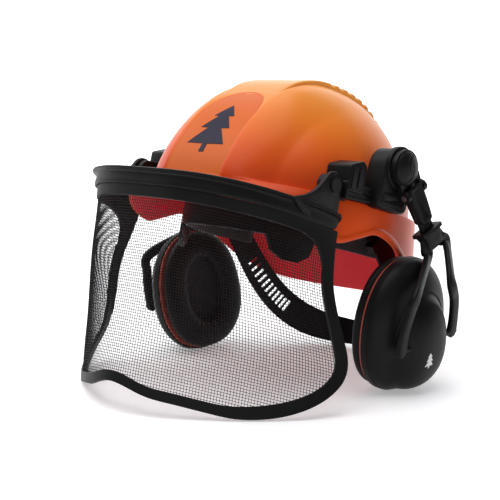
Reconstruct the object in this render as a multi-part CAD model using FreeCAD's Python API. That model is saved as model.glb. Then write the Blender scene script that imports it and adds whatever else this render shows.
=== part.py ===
import FreeCAD, Part
import os
from bisect import bisect_left
from functools import lru_cache
from math import atan2, cos, degrees, exp, hypot, pi, radians, sin, sqrt

from FreeCAD import Vector

# Forestry hard hat with a swing-up mesh visor and a pair of slot-mounted ear muffs.
# All sizes are in millimetres and degrees.
#
# Two frames are used. The helmet frame has x to the wearer's left, y to the rear and
# z up, with z = 0 at the rain ledge round the dome. The standing frame is the part's
# own frame: the hat stands on the visor's two lobes and on both ear cups, which tips
# the helmet back by STAND_PITCH.

STAND_PITCH = 15.0
STAND_SHIFT = 68.7  # rearward shift of the ledge centre from the part's origin
STAND_LIFT = 137.4  # height of the ledge centre above the floor

# Shell
SHELL_WALL = 2.6
DOME_HEIGHT = 100.0
DOME_HALF_WIDTH = 104.5
DOME_FRONT = -142.0
DOME_REAR = 80.0
DOME_RAKE = 7.0  # how far the crown lies behind the middle of the ledge
DOME_RISE_POWER = 1.52
DOME_ROUND_POWER = 2.22
LEDGE_WIDTH = 4.0
SKIRT_DEPTH = 62.0
SKIRT_FRONT = -202.0
SKIRT_REAR = 106.0
SKIRT_HALF_WIDTH = 112.0
SKIRT_POWER = 2.15
CROWN_BAND_HALF_WIDTH = 31.0
CROWN_BAND_PROUD = 0.6
CROWN_BAND_END = 62.0
RIM_LINE = [
    (-215, -16), (-165, -21), (-133, -22), (-100, -32), (-80, -35), (-58, -28),
    (-39, -22), (-18, -25), (2, -33), (32, -48), (62, -57), (125, -59),
]

# Harness
BAND_FRONT = -116.0
BAND_REAR = 80.0
BAND_HALF_WIDTH = 80.0
BAND_WALL = 2.0
BAND_TOP = -6.0
BAND_BOTTOM = -36.0
BAND_LUG_BOTTOM = -54.0
BAND_SIDE_BOTTOM = -20.0  # the band is narrower behind the lugs
BAND_OPEN_FROM = 6.0  # the moulded headband stops here and the nape strap carries on
SWEATBAND_WALL = 4.0
STRAP_WIDTH = 22.0
STRAP_BULGE = 5.0  # extra width beside the nape, where the slots are
STRAP_WALL = 2.2
STRAP_SLOTS = 11
NAPE_HALF_WIDTH = 83.0
NAPE_START = -8.0
NAPE_REAR = 108.0
NAPE_TOP = -14.0
NAPE_DROP = 85.0
CROWN_STRAPS = 6
CROWN_STRAP_WIDTH = 18.0
CROWN_STRAP_WALL = 1.4
CROWN_RING_RADIUS = 24.0
CROWN_TOP = 72.0

# Visor
VISOR_TILT = 5.65
VISOR_TOP = -5.0
VISOR_FRONT = -187.0
VISOR_BOTTOM_BACK = 17.0  # how far the lower front lies behind the upper front
VISOR_HEIGHT = 168.0
VISOR_HALF_WIDTH = 112.0
VISOR_FLARE = 35.0
VISOR_END = -87.0  # the sides end here, about under the pivots
VISOR_END_BACK = 23.0
VISOR_ROUNDNESS = 3.0  # squarer across the front at the top than at the bottom
VISOR_ROUNDNESS_LOSS = 1.3
VISOR_DIP = 6.0  # shallow dip between the two lobes of the lower edge
VISOR_DIP_SHARE = 0.22
VISOR_CORNER_SHARE = 0.50
VISOR_CORNER_HEIGHT = 70.0
VISOR_WALL = 3.0
VISOR_BORDER = 8.0
WINDOW_TOP = 21.5
WINDOW_TOP_CORNER_SHARE = 0.70
WINDOW_TOP_CORNER = 26.0
WINDOW_CORNER_HEIGHT = 55.0
WINDOW_SIDE = 0.94  # the window's share of the half girth
MESH_WALL = 0.8
BAND_FACE_HEIGHT = 12.5
BAND_FACE_WALL = 2.4
BAND_LIP = 4.0
BAND_FLANGE = 9.0
BAND_FLANGE_WALL = 2.0
PIVOT_Y = -98.0
PIVOT_Z = 6.0
PIN_RADIUS = 3.0
PIN_GAP = 0.05
ARM_INNER = 104.6
ARM_OUTER = 109.0

# Ear muffs
MUFF_PIVOT = (120.0, -33.0, 33.0)
ARM_ANGLE = 38.0  # slope of the arm behind the helmet's vertical
ARM_LEAN = 8.0
SWING_DROP = 20.0  # cap centre to swing pin, along the arm
STEM_WIDTH = 13.0
STEM_WALL = 5.0
STEM_LENGTH = 55.5
COLLAR_START = 33.0
COLLAR_LENGTH = 29.0
COLLAR_GAP = 0.35
CUP_CENTRE = (115.0, -18.7, -83.4)  # from the ledge centre, level with the floor
CUP_TILT = 5.5
CUP_LEAN = 7.6
CUP_HALF_WIDTH = 48.0
CUP_HALF_HEIGHT = 54.5
CUP_DEPTH = 24.0
CUP_RIM_SHARE = 0.965  # the rim is a little smaller than the widest section
CUP_WALL = 2.5
CUP_POWER = 2.2
CUP_EGG = 0.05
PANEL_HALF_WIDTH = 33.0
PANEL_HALF_HEIGHT = 42.0
PANEL_DROP = 10.5
PANEL_DEPTH = 37.5
RING_WALL = 2.2
CUSHION_WALL = 11.0
YOKE_REACH = 33.5  # from the cup's centre to each leg, fore and aft
YOKE_OUT = 28.5  # pivot line outside the cup's rim plane
YOKE_PIVOT_DROP = 8.0
PIVOT_START = 20.0  # the pivots begin inside the cup's wall
LEG_WIDTH = 9.0
LEG_WALL = 5.0
YOKE_GAP = 0.5
CUP_PLAY = 3.2  # how far the cup may nod each way in the fork


def power_circle(angle, power):
    """Sine and cosine of a superellipse: rounder than a box, fuller than an oval."""
    s, c = sin(angle), cos(angle)
    return (abs(s) ** (2 / power) * (1 if s >= 0 else -1),
            abs(c) ** (2 / power) * (1 if c >= 0 else -1))


def smooth_wire(points):
    """Closed smooth wire through the points."""
    curve = Part.BSplineCurve()
    curve.interpolate(Points=points, PeriodicFlag=True)
    return Part.Wire(curve.toShape())


def smooth_edge(points):
    curve = Part.BSplineCurve()
    curve.interpolate(Points=points)
    return curve.toShape()


def level_section(z, front, rear, half_width, power, count=28):
    """Closed horizontal outline of a helmet-shaped body at height z."""
    middle, half_length = (front + rear) / 2, (rear - front) / 2
    points = []
    for i in range(count):
        s, c = power_circle(2 * pi * i / count, power)
        points.append(Vector(half_width * s, middle - half_length * c, z))
    return smooth_wire(points)


def box(x0, x1, y0, y1, z0, z1):
    return Part.makeBox(x1 - x0, y1 - y0, z1 - z0, Vector(x0, y0, z0))


def cylinder(centre, axis, radius, length):
    """Cylinder that starts at centre and runs along axis."""
    return Part.makeCylinder(radius, length, Vector(*centre), Vector(*axis))


def side_plate(outline, x0, x1):
    """Solid with the given side-view outline (y, z), from x0 to x1."""
    corners = [Vector(x0, y, z) for y, z in outline]
    face = Part.Face(Part.makePolygon(corners + [corners[0]]))
    return face.extrude(Vector(x1 - x0, 0, 0))


def mirrored(shape):
    return shape.mirror(Vector(0, 0, 0), Vector(1, 0, 0))


def ribbon(stations):
    """Flat strap lofted through stations of (centre, width vector, wall vector)."""
    wires = []
    for centre, across, through in stations:
        corners = [centre - across - through, centre + across - through,
                   centre + across + through, centre - across + through]
        wires.append(Part.makePolygon(corners + [corners[0]]))
    return Part.makeLoft(wires, True, False)


def stand(shape):
    """Carry a shape from the helmet frame to the standing frame."""
    moved = shape.copy()
    moved.rotate(Vector(0, 0, 0), Vector(1, 0, 0), -STAND_PITCH)
    moved.translate(Vector(0, STAND_SHIFT, STAND_LIFT))
    return moved


def unpitched(shape):
    """Turn a shape whose z is plumb, as the hat stands, into the helmet frame."""
    moved = shape.copy()
    moved.rotate(Vector(0, 0, 0), Vector(1, 0, 0), STAND_PITCH)
    return moved


# ---------------------------------------------------------------- shell

def dome_radius(rise):
    """Share of the ledge's radius that is left at a share of the dome's height."""
    return max(0.0, 1 - rise ** DOME_RISE_POWER) ** (1 / DOME_ROUND_POWER)


def dome_solid(inset):
    """Dome as a turned profile, stretched fore and aft and raked to the rear."""
    height, half_width = DOME_HEIGHT - inset, DOME_HALF_WIDTH - inset
    half_length = (DOME_REAR - DOME_FRONT) / 2 - inset
    points = []
    for i in range(13):
        rise = sin(pi / 2 * i / 12) ** 1.3
        points.append(Vector(half_width * dome_radius(rise), 0, height * rise))
    profile = Part.BSplineCurve()
    profile.interpolate(Points=points, InitialTangent=Vector(0, 0, 1), FinalTangent=Vector(-1, 0, 0))
    foot, top = Vector(0, 0, -SHELL_WALL - 1), Vector(0, 0, height)
    wall = Part.makeLine(Vector(half_width, 0, foot.z), points[0])
    base = Part.makeLine(foot, Vector(half_width, 0, foot.z))
    face = Part.Face(Part.Wire([base, wall, profile.toShape(), Part.makeLine(top, foot)]))
    turned = face.revolve(Vector(0, 0, 0), Vector(0, 0, 1), 360)
    stretch = FreeCAD.Matrix()
    stretch.A22 = half_length / half_width
    stretch.A23 = DOME_RAKE / DOME_HEIGHT
    stretch.A24 = (DOME_FRONT + DOME_REAR) / 2
    return turned.transformGeometry(stretch)


def dome_profile(proud):
    """Points of the dome's centre line from the front ledge to the rear, moved outward."""
    middle, half_length = (DOME_FRONT + DOME_REAR) / 2, (DOME_REAR - DOME_FRONT) / 2
    points = []
    for i in range(0, 15):
        turn = pi * i / 18
        rise = sin(turn) ** 1.3
        side = 1 if turn < pi / 2 else -1
        y = middle + DOME_RAKE * rise - side * half_length * dome_radius(rise)
        z = DOME_HEIGHT * rise
        out_y, out_z = y - middle, z * 1.3
        size = hypot(out_y, out_z)
        sink = 0 if y < CROWN_BAND_END else 0.35 * (y - CROWN_BAND_END)
        step = proud - sink
        points.append(Vector(0, y + step * out_y / size, z + step * out_z / size))
        if sink > 4:
            break
    return points


def crown_band(half_width, proud):
    """Raised band from the front ledge over the crown, flat from side to side."""
    points = dome_profile(proud)
    first, last = points[0], points[-1]
    inside = [last, Vector(0, last.y - 30, 0), first]
    face = Part.Face(Part.Wire([smooth_edge(points)] + Part.makePolygon(inside).Edges))
    body = face.extrude(Vector(2 * half_width, 0, 0))
    body.translate(Vector(-half_width, 0, 0))
    return body


def skirt_solid(inset, top):
    upper = level_section(top, DOME_FRONT - LEDGE_WIDTH + inset, DOME_REAR + LEDGE_WIDTH - inset,
                          DOME_HALF_WIDTH + LEDGE_WIDTH - inset, SKIRT_POWER)
    lower = level_section(-SKIRT_DEPTH, SKIRT_FRONT + inset, SKIRT_REAR - inset,
                          SKIRT_HALF_WIDTH - inset, SKIRT_POWER)
    return Part.makeLoft([upper, lower], True, True)


def above_rim():
    """Block that keeps everything above the rim line seen from the side."""
    points = [Vector(-150, y, z) for y, z in RIM_LINE]
    first, last = points[0], points[-1]
    corners = [last, Vector(-150, last.y, 130), Vector(-150, first.y, 130), first]
    face = Part.Face(Part.Wire([smooth_edge(points)] + Part.makePolygon(corners).Edges))
    return face.extrude(Vector(300, 0, 0))


def make_shell():
    outer = dome_solid(0).fuse(crown_band(CROWN_BAND_HALF_WIDTH, CROWN_BAND_PROUD))
    outer = outer.fuse(skirt_solid(0, 0))
    inner = dome_solid(SHELL_WALL)
    inner = inner.fuse(crown_band(CROWN_BAND_HALF_WIDTH - SHELL_WALL, CROWN_BAND_PROUD - SHELL_WALL))
    inner = inner.fuse(skirt_solid(SHELL_WALL, -SHELL_WALL))
    below = box(-200, 200, -260, 200, -SKIRT_DEPTH - 20, -SKIRT_DEPTH)
    body = outer.cut(inner).cut(below).common(above_rim())
    for low, high in (MUFF_SLOT, VISOR_SLOT):
        body = body.cut(box(-130, 130, low[0], high[0], low[1], high[1]))
    return body


MUFF_SLOT = ((-49.0, 7.0), (-27.0, 14.0))
VISOR_SLOT = ((-82.0, 7.0), (-72.0, 14.0))


# ---------------------------------------------------------------- harness

def hoop(inset, wall, bottom, top):
    """Headband-shaped ring with its outer face inset from the headband's."""
    outer = level_section(bottom, BAND_FRONT + inset, BAND_REAR - inset, BAND_HALF_WIDTH - inset, 2.0)
    grown = inset + wall
    inner = level_section(bottom, BAND_FRONT + grown, BAND_REAR - grown, BAND_HALF_WIDTH - grown, 2.0)
    height = Vector(0, 0, top - bottom)
    return Part.Face(outer).extrude(height).cut(Part.Face(inner).extrude(height))


def make_headband():
    front = box(-120, 120, BAND_FRONT - 20, BAND_OPEN_FROM, -80, 20)
    body = hoop(0, BAND_WALL, BAND_BOTTOM, BAND_TOP).common(front)
    body = body.cut(box(-120, 120, -62, 20, -80, BAND_SIDE_BOTTOM))
    lug = side_plate([(-96, BAND_BOTTOM + 1), (-92, -48), (-84, BAND_LUG_BOTTOM), (-74, BAND_LUG_BOTTOM),
                      (-66, -48), (-63, BAND_BOTTOM + 1)], -120, 120)
    return body.fuse(hoop(0, BAND_WALL, -70, BAND_BOTTOM + 1).common(lug)).removeSplitter()


def make_sweatband():
    front = box(-120, 120, BAND_FRONT - 20, -58, -80, 20)
    return hoop(BAND_WALL + 0.1, SWEATBAND_WALL, BAND_BOTTOM - 1, BAND_TOP - 2).common(front)


def nape_point(t):
    """Centre line of the nape strap, t from -1 at the right temple to 1 at the left."""
    reach = NAPE_REAR - NAPE_START
    turn = t * pi / 2
    x = NAPE_HALF_WIDTH * power_circle(turn, 2.6)[0]
    y = NAPE_START + reach * power_circle(turn, 2.6)[1]
    z = NAPE_TOP - NAPE_DROP * (1 - abs(t) ** 3.1)
    return Vector(x, y, z)


def nape_frame(t):
    """Centre, half width vector and half wall vector of the strap at t."""
    step = 0.01
    here = nape_point(t)
    along = nape_point(min(1, t + step)) - nape_point(max(-1, t - step))
    out = Vector(here.x / NAPE_HALF_WIDTH ** 2, (here.y + 10) / 118.0 ** 2, 0).normalize()
    across = along.cross(out).normalize()
    width = STRAP_WIDTH + STRAP_BULGE * sin(pi * abs(t))
    return here, across * (width / 2), out * (STRAP_WALL / 2)


def on_strap(shape, t):
    """Place a shape drawn with x through the strap, y across it and z along it."""
    centre, across, through = nape_frame(t)
    out, up = through.normalize(), across.normalize()
    along = out.cross(up)
    frame = FreeCAD.Matrix(out.x, up.x, along.x, centre.x, out.y, up.y, along.y, centre.y,
                           out.z, up.z, along.z, centre.z, 0, 0, 0, 1)
    return shape.transformGeometry(frame)


def make_nape_strap():
    count = 24
    strap = ribbon([nape_frame(-1 + 2 * i / count) for i in range(count + 1)])
    for side in (-1, 1):
        for i in range(STRAP_SLOTS):
            strap = strap.cut(on_strap(box(-5, 5, -5.6, 5.6, -1.4, 1.4), side * (0.83 - 0.028 * i)))
    return strap


def make_strap_keepers():
    """Loops on the ends of the headband that the ends of the nape strap run through."""
    high, deep = STRAP_WIDTH / 2 + 2.4, STRAP_WALL / 2 + 0.9
    loop = box(-deep - 6, deep + 1.6, -high - 1.6, high + 1.6, -4, 4)
    loop = on_strap(loop.cut(box(-deep, deep, -high, high, -5, 5)), 0.975)
    band_room = hoop(-0.1, BAND_WALL + 8, -80, 20)
    loop = loop.cut(band_room)
    return Part.makeCompound([loop, mirrored(loop)])


def crown_direction(i):
    turn = 2 * pi * (i + 0.5) / CROWN_STRAPS
    return sin(turn), -cos(turn)


def crown_strap(i):
    """One webbing strap from its clip at the ledge up to the crown ring."""
    sx, sy = crown_direction(i)
    foot_x, foot_y = 88 * sx, -28 + 94 * sy
    stations = []
    for k in range(9):
        rise = radians(4 + 74 * k / 8)
        share = cos(rise) ** 0.8
        x = foot_x * share
        y = -14 + (foot_y + 14) * share
        z = -6 + (CROWN_TOP + 6) * sin(rise) / sin(radians(78))
        slope = Vector(sx * cos(rise), sy * cos(rise), 1.1 * sin(rise)).normalize()
        across = Vector(-sy, sx, 0) * (CROWN_STRAP_WIDTH / 2)
        stations.append((Vector(x, y, z), across, slope * (CROWN_STRAP_WALL / 2)))
    return ribbon(stations)


def make_crown_straps():
    ring = make_crown_ring()
    return Part.makeCompound([crown_strap(i).cut(ring) for i in range(CROWN_STRAPS)])


def make_crown_ring():
    centre = Vector(0, -14, CROWN_TOP - 2)
    disc = Part.makeCylinder(CROWN_RING_RADIUS, 4, centre)
    return disc.cut(Part.makeCylinder(9, 6, centre - Vector(0, 0, 1)))


def make_harness_clips():
    """Six clips that hold the crown straps in pockets under the ledge."""
    solids = []
    for i in range(CROWN_STRAPS):
        sx, sy = crown_direction(i)
        clip = box(-9, 9, -4.5, 1.5, -14, 6)
        clip.rotate(Vector(0, 0, 0), Vector(0, 0, 1), degrees(atan2(sy, sx)) - 90)
        clip.translate(Vector(92.5 * sx, -28 + 99.5 * sy, 0))
        solids.append(clip.cut(crown_strap(i)))
    return Part.makeCompound(solids)


# ---------------------------------------------------------------- visor

def visor_tilted(shape):
    """The visor hangs from a plane that drops a little towards the ears."""
    moved = shape.copy()
    moved.rotate(Vector(0, VISOR_FRONT, VISOR_TOP), Vector(1, 0, 0), -VISOR_TILT)
    return moved


def ease(share):
    """Smooth step from 0 to 1."""
    share = min(1.0, max(0.0, share))
    return share * share * (3 - 2 * share)


@lru_cache(maxsize=None)
def half_plan(drop):
    """Points (run, x, y) along half the face's plan: a wide wrap at the top, flared lower down."""
    share = drop / VISOR_HEIGHT
    half_width = VISOR_HALF_WIDTH + VISOR_FLARE * ease(share)
    end = VISOR_END + VISOR_END_BACK * ease(2.15 * share - 0.6)
    front = VISOR_FRONT + VISOR_BOTTOM_BACK * share
    roundness = VISOR_ROUNDNESS - VISOR_ROUNDNESS_LOSS * share
    flare = 0.77 + 1.4 * exp(-2.55 * share)
    points = [(0.0, 0.0, front)]
    for i in range(1, 301):
        across = sin(pi / 2 * i / 300)
        reach = max(0.0, 1 - across ** roundness) ** (1 / flare)
        x, y = half_width * across, end - (end - front) * reach
        run, x0, y0 = points[-1]
        points.append((run + hypot(x - x0, y - y0), x, y))
    return points


def visor_plan(s, drop):
    """Plan (x, y) of the face at a share s of its half girth, negative to the right."""
    points = half_plan(drop)
    run = abs(s) * points[-1][0]
    i = min(299, max(0, bisect_left(points, (run,)) - 1))
    run0, x0, y0 = points[i]
    run1, x1, y1 = points[i + 1]
    part = (run - run0) / (run1 - run0)
    x = x0 + (x1 - x0) * part
    return (x if s >= 0 else -x), y0 + (y1 - y0) * part


def visor_point(s, drop, out):
    """Point of the visor: s from -1 to 1 across, drop below its top edge, out from its face."""
    x, y = visor_plan(s, drop)
    x0, y0 = visor_plan(max(-1.0, s - 0.015), drop)
    x1, y1 = visor_plan(min(1.0, s + 0.015), drop)
    size = hypot(x1 - x0, y1 - y0)
    return Vector(x + out * (y1 - y0) / size, y - out * (x1 - x0) / size, VISOR_TOP - drop)


def round_corner(s, start, height, power):
    """How far an edge has turned away from level at s, for a corner that begins at start."""
    share = max(0.0, (min(1.0, abs(s)) - start) / (1 - start))
    return height * (1 - sqrt(max(0.0, 1 - share ** power)))


def visor_dip(s):
    return VISOR_DIP * (0.5 + 0.5 * cos(pi * min(1.0, abs(s) / VISOR_DIP_SHARE)))


def frame_edges(s):
    """Upper and lower edge of the frame: two lobes, a shallow dip between, long round corners."""
    corner = round_corner(s, VISOR_CORNER_SHARE, VISOR_CORNER_HEIGHT, 1.72)
    return BAND_FACE_HEIGHT + 0.2, VISOR_HEIGHT - visor_dip(s) - corner


def window_edges(s):
    """Upper and lower edge of the window that the mesh fills."""
    high = WINDOW_TOP + round_corner(s, WINDOW_TOP_CORNER_SHARE, WINDOW_TOP_CORNER, 4.0)
    corner = round_corner(s, VISOR_CORNER_SHARE, WINDOW_CORNER_HEIGHT, 1.5)
    return high, VISOR_HEIGHT - VISOR_BORDER - visor_dip(s) - corner


def surface_through(rows):
    surface = Part.BSplineSurface()
    surface.interpolate(rows)
    return surface


def visor_wall(edges, reach, gap, inner, outer):
    """Wall of the visor within its edges less a gap, between two offsets of its face."""
    across, down = 44, 14
    grids = []
    for out in (inner, outer):
        rows = []
        for i in range(across + 1):
            s = sin(pi / 2 * (-1 + 2 * i / across))
            high, low = edges(s)
            drops = [high + gap + (low - high - 2 * gap) * j / down for j in range(down + 1)]
            rows.append([visor_point((reach - gap / 180) * s, drop, out) for drop in drops])
        grids.append(surface_through(rows))
    back, face = grids
    faces = [back.toShape(), face.toShape()]
    for end in (0, 1):
        faces.append(Part.makeRuledSurface(back.uIso(end).toShape(), face.uIso(end).toShape()))
        faces.append(Part.makeRuledSurface(back.vIso(end).toShape(), face.vIso(end).toShape()))
    shell = Part.makeShell(faces)
    shell.sewShape()
    solid = Part.makeSolid(shell)
    if solid.Volume < 0:
        solid.reverse()
    return solid


def make_visor_frame():
    full = visor_wall(frame_edges, 1, 0, -VISOR_WALL, 0)
    window = visor_wall(window_edges, WINDOW_SIDE, 0, -VISOR_WALL - 3, 3)
    return visor_tilted(full.cut(window))


def make_visor_mesh():
    middle = -VISOR_WALL / 2
    return visor_tilted(visor_wall(window_edges, WINDOW_SIDE, 0.05, middle - MESH_WALL / 2,
                                   middle + MESH_WALL / 2))


def visor_arm():
    """Gusset from the end of the band up to the pivot on the left side."""
    head = cylinder((ARM_INNER, PIVOT_Y, PIVOT_Z), (1, 0, 0), 10.5, ARM_OUTER - ARM_INNER)
    y, z = PIVOT_Y, PIVOT_Z
    gusset = side_plate([(y - 43, z - 16), (y - 29, z - 13), (y - 19, z - 8), (y - 11, z), (y - 5, z + 9),
                         (y + 10, z + 3), (y + 10, z - 25), (y - 10, z - 31), (y - 30, z - 26)],
                        ARM_INNER, ARM_OUTER)
    hole = cylinder((ARM_INNER - 5, PIVOT_Y, PIVOT_Z), (1, 0, 0), PIN_RADIUS + PIN_GAP, 30)
    return head.fuse(gusset).cut(hole)


def visor_strip(drop, height, inner, outer):
    """Level strip that follows the top of the face, between two offsets, down from drop."""
    count = 40
    edges = []
    for out in (inner, outer):
        points = [visor_point(-1 + 2 * i / count, 0, out) for i in range(count + 1)]
        edges.append([Vector(point.x, point.y, VISOR_TOP - drop) for point in points])
    back, face = edges
    wire = Part.Wire([smooth_edge(back), Part.makeLine(back[-1], face[-1]), smooth_edge(face),
                      Part.makeLine(face[0], back[0])])
    return Part.Face(wire).extrude(Vector(0, 0, -height))


def make_visor_band():
    """Holder that carries the visor: a lipped band with an arm at each end."""
    flange = visor_strip(0, BAND_FLANGE_WALL, -BAND_FLANGE, BAND_LIP)
    face = visor_strip(BAND_FLANGE_WALL, BAND_FACE_HEIGHT - BAND_FLANGE_WALL, -BAND_FACE_WALL, 0)
    arm = visor_arm()
    return visor_tilted(flange.fuse(face)).fuse(arm).fuse(mirrored(arm))


def make_visor_studs():
    """Five studs that fix the visor's frame behind the band."""
    solids = []
    for s in (-0.8, -0.4, 0.0, 0.4, 0.8):
        inner = visor_point(s, BAND_FACE_HEIGHT + 4, -VISOR_WALL - 1.8)
        out = visor_point(s, BAND_FACE_HEIGHT + 4, 0) - inner
        solids.append(visor_tilted(Part.makeCylinder(2.4, 1.4, inner, out)))
    return Part.makeCompound(solids)


def make_visor_bracket():
    """Left bracket: a tongue in the shell's slot, a block, and a lug behind the arm's head."""
    lug_in, lug_out = ARM_INNER - 6.5, ARM_INNER - 0.4
    y, z = PIVOT_Y, PIVOT_Z
    lug = cylinder((lug_in, y, z), (1, 0, 0), 8.5, lug_out - lug_in)
    lug = lug.fuse(side_plate([(y, z - 8.5), (y + 20, z - 8.5), (y + 20, z + 8.5), (y, z + 8.5)],
                              lug_in, lug_out))
    block = side_plate([(y + 12, z - 8.5), (y + 32, z - 8.5), (y + 32, z + 21), (y + 23, z + 25),
                        (y + 12, z + 18)], 88, 113)
    bar = box(105, 112, y + 30, -49, 1, 13)
    tongue = box(86, 100, VISOR_SLOT[0][0] + 0.4, VISOR_SLOT[1][0] - 0.4, VISOR_SLOT[0][1] + 0.4,
                 VISOR_SLOT[1][1] - 0.4)
    hole = cylinder((80, PIVOT_Y, PIVOT_Z), (1, 0, 0), PIN_RADIUS, 50)
    return block.fuse(lug).fuse(bar).fuse(tongue).cut(hole).cut(shell_space())


def make_visor_pin():
    inner = ARM_INNER - 6.5
    shank = cylinder((inner, PIVOT_Y, PIVOT_Z), (1, 0, 0), PIN_RADIUS, ARM_OUTER + 0.4 - inner)
    head = cylinder((ARM_OUTER + 0.4, PIVOT_Y, PIVOT_Z), (1, 0, 0), 5.5, 1.8)
    return shank.fuse(head)


def shell_space():
    """The shell's outer body grown a little, to shape brackets that sit against it."""
    ledge = skirt_solid(-0.3, 0.3).fuse(dome_solid(-0.3))
    slots = box(-130, 130, MUFF_SLOT[0][0], MUFF_SLOT[1][0], MUFF_SLOT[0][1], MUFF_SLOT[1][1])
    slots = slots.fuse(box(-130, 130, VISOR_SLOT[0][0], VISOR_SLOT[1][0], VISOR_SLOT[0][1], VISOR_SLOT[1][1]))
    return ledge.cut(slots)


# ---------------------------------------------------------------- ear muffs

def arm_placed(shape):
    """Carry a shape from the arm's frame (origin at the swing pin, -z down the arm)."""
    moved = shape.copy()
    moved.rotate(Vector(0, 0, 0), Vector(0, 1, 0), -ARM_LEAN)
    moved.rotate(Vector(0, 0, 0), Vector(1, 0, 0), ARM_ANGLE)
    moved.translate(swing_centre())
    return moved


def swing_centre():
    slope = radians(ARM_ANGLE)
    x, y, z = MUFF_PIVOT
    return Vector(x + 5.0, y + SWING_DROP * sin(slope), z - SWING_DROP * cos(slope))


def make_muff_bracket():
    """Left muff bracket: a tongue in the shell's slot and a block that carries the pivot."""
    outline = [(-55, -2), (-16, -2), (-14, 10), (-18, 38), (-28, 47), (-42, 48), (-52, 38)]
    x, y, z = MUFF_PIVOT
    block = side_plate(outline, 100, x - 0.4)
    tongue = box(93, 104, MUFF_SLOT[0][0] + 0.4, MUFF_SLOT[1][0] - 0.4, MUFF_SLOT[0][1] + 0.4,
                 MUFF_SLOT[1][1] - 0.4)
    spigot = cylinder((x - 6, y, z), (1, 0, 0), 6.0, 10.0)
    socket = box(104.6, 112.4, -60, -48.6, 0.6, 13.4)
    return block.fuse(tongue).cut(shell_space()).cut(socket).fuse(spigot)


def make_carrier():
    """Turning disc of the left arm, with two knuckles for the swing pin."""
    x, y, z = MUFF_PIVOT
    disc = cylinder((x, y, z), (1, 0, 0), 15.0, 4.5)
    disc = disc.cut(cylinder((x - 1, y, z), (1, 0, 0), 6.06, 20))
    knuckles = None
    for w0 in (-13.0, 9.0):
        knuckle = cylinder((0, w0, 0), (0, 1, 0), 5.0, 4.0)
        knuckle = knuckle.fuse(box(-5.0, 0.0, w0, w0 + 4.0, 0, 12.0))
        knuckles = knuckle if knuckles is None else knuckles.fuse(knuckle)
    knuckles.rotate(Vector(0, 0, 0), Vector(1, 0, 0), ARM_ANGLE)
    knuckles.translate(swing_centre())
    body = disc.fuse(knuckles)
    hole = arm_pin(2.5, 40)
    return body.cut(hole)


def arm_pin(radius, length):
    pin = cylinder((0, -length / 2, 0), (0, 1, 0), radius, length)
    pin.rotate(Vector(0, 0, 0), Vector(1, 0, 0), ARM_ANGLE)
    pin.translate(swing_centre())
    return pin


def make_cap():
    """Domed oval cap that closes the turning disc."""
    x, y, z = MUFF_PIVOT
    dome = Part.makeSphere(26, Vector(x + 4.6 + 5.0 - 26, y, z))
    disc = cylinder((x + 4.6, y, z), (1, 0, 0), 13.5, 6.0)
    return dome.common(disc)


def make_stem():
    """Flat stem that hangs from the swing pin and slides in the collar."""
    knuckle = cylinder((0, -8.6, 0), (0, 1, 0), 4.6, 17.2)
    stem = box(-STEM_WALL / 2, STEM_WALL / 2, -STEM_WIDTH / 2, STEM_WIDTH / 2, -STEM_LENGTH, -1)
    hole = cylinder((0, -20, 0), (0, 1, 0), 2.5 + PIN_GAP, 40)
    return arm_placed(knuckle.fuse(stem).cut(hole))


def collar():
    """Sleeve round the stem, with a flange at its mouth."""
    low, high = -COLLAR_START - COLLAR_LENGTH, -COLLAR_START
    body = box(-5.6, 5.6, -10.5, 10.5, low, high).fuse(box(-7.2, 7.2, -13, 13, high - 3, high))
    bore_x, bore_y = STEM_WALL / 2 + COLLAR_GAP, STEM_WIDTH / 2 + COLLAR_GAP
    return arm_placed(body.cut(box(-bore_x, bore_x, -bore_y, bore_y, low - 1, high + 1)))


def cup_placed(shape):
    """Carry a shape from the cup's frame (x outward, z up its long axis) to the helmet frame."""
    moved = shape.copy()
    moved.rotate(Vector(0, 0, 0), Vector(0, 1, 0), CUP_LEAN)
    moved.rotate(Vector(0, 0, 0), Vector(1, 0, 0), CUP_TILT)
    moved.translate(Vector(*CUP_CENTRE))
    return unpitched(moved)


def cup_point(x, y, z):
    return cup_placed(Part.Vertex(x, y, z)).Point


def yoke_leg(side):
    """One leg of the fork, from the collar over the cup's shoulder; side -1 is the front."""
    crown = arm_placed(Part.Vertex(0, 7.0 * side, -COLLAR_START - COLLAR_LENGTH + 5)).Point
    route = [crown, cup_point(YOKE_OUT + 1, 19.0 * side, 40), cup_point(YOKE_OUT + 2, 29.0 * side, 22),
             cup_point(YOKE_OUT + 1, YOKE_REACH * side, 0), cup_point(YOKE_OUT, (YOKE_REACH - 1) * side, -17)]
    outward = cup_point(1, 0, 0) - cup_point(0, 0, 0)
    stations = []
    for i, point in enumerate(route):
        along = (route[min(i + 1, 4)] - route[max(i - 1, 0)]).normalize()
        across = along.cross(outward).normalize()
        through = across.cross(along).normalize()
        stations.append((point, across * (LEG_WIDTH / 2), through * (LEG_WALL / 2)))
    return ribbon(stations)


def pivot_hole(radius):
    return cup_placed(cylinder((YOKE_OUT, -60, -YOKE_PIVOT_DROP), (0, 1, 0), radius, 120))


def make_yoke():
    low = -COLLAR_START - COLLAR_LENGTH
    bridge = box(-4.5, 4.5, -14, 14, low - 1, low + 9)
    bore_x, bore_y = STEM_WALL / 2 + COLLAR_GAP, STEM_WIDTH / 2 + COLLAR_GAP
    bridge = bridge.cut(box(-bore_x, bore_x, -bore_y, bore_y, low - 10, low + 10))
    body = collar().fuse(arm_placed(bridge))
    bore = arm_placed(box(-bore_x, bore_x, -bore_y, bore_y, low - 6, 0))
    for side in (-1, 1):
        body = body.fuse(yoke_leg(side).cut(bore))
    for tilt in (CUP_PLAY, 0, -CUP_PLAY):
        body = body.cut(cup_room(tilt))
    return body.cut(pivot_hole(2.5))


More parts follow.
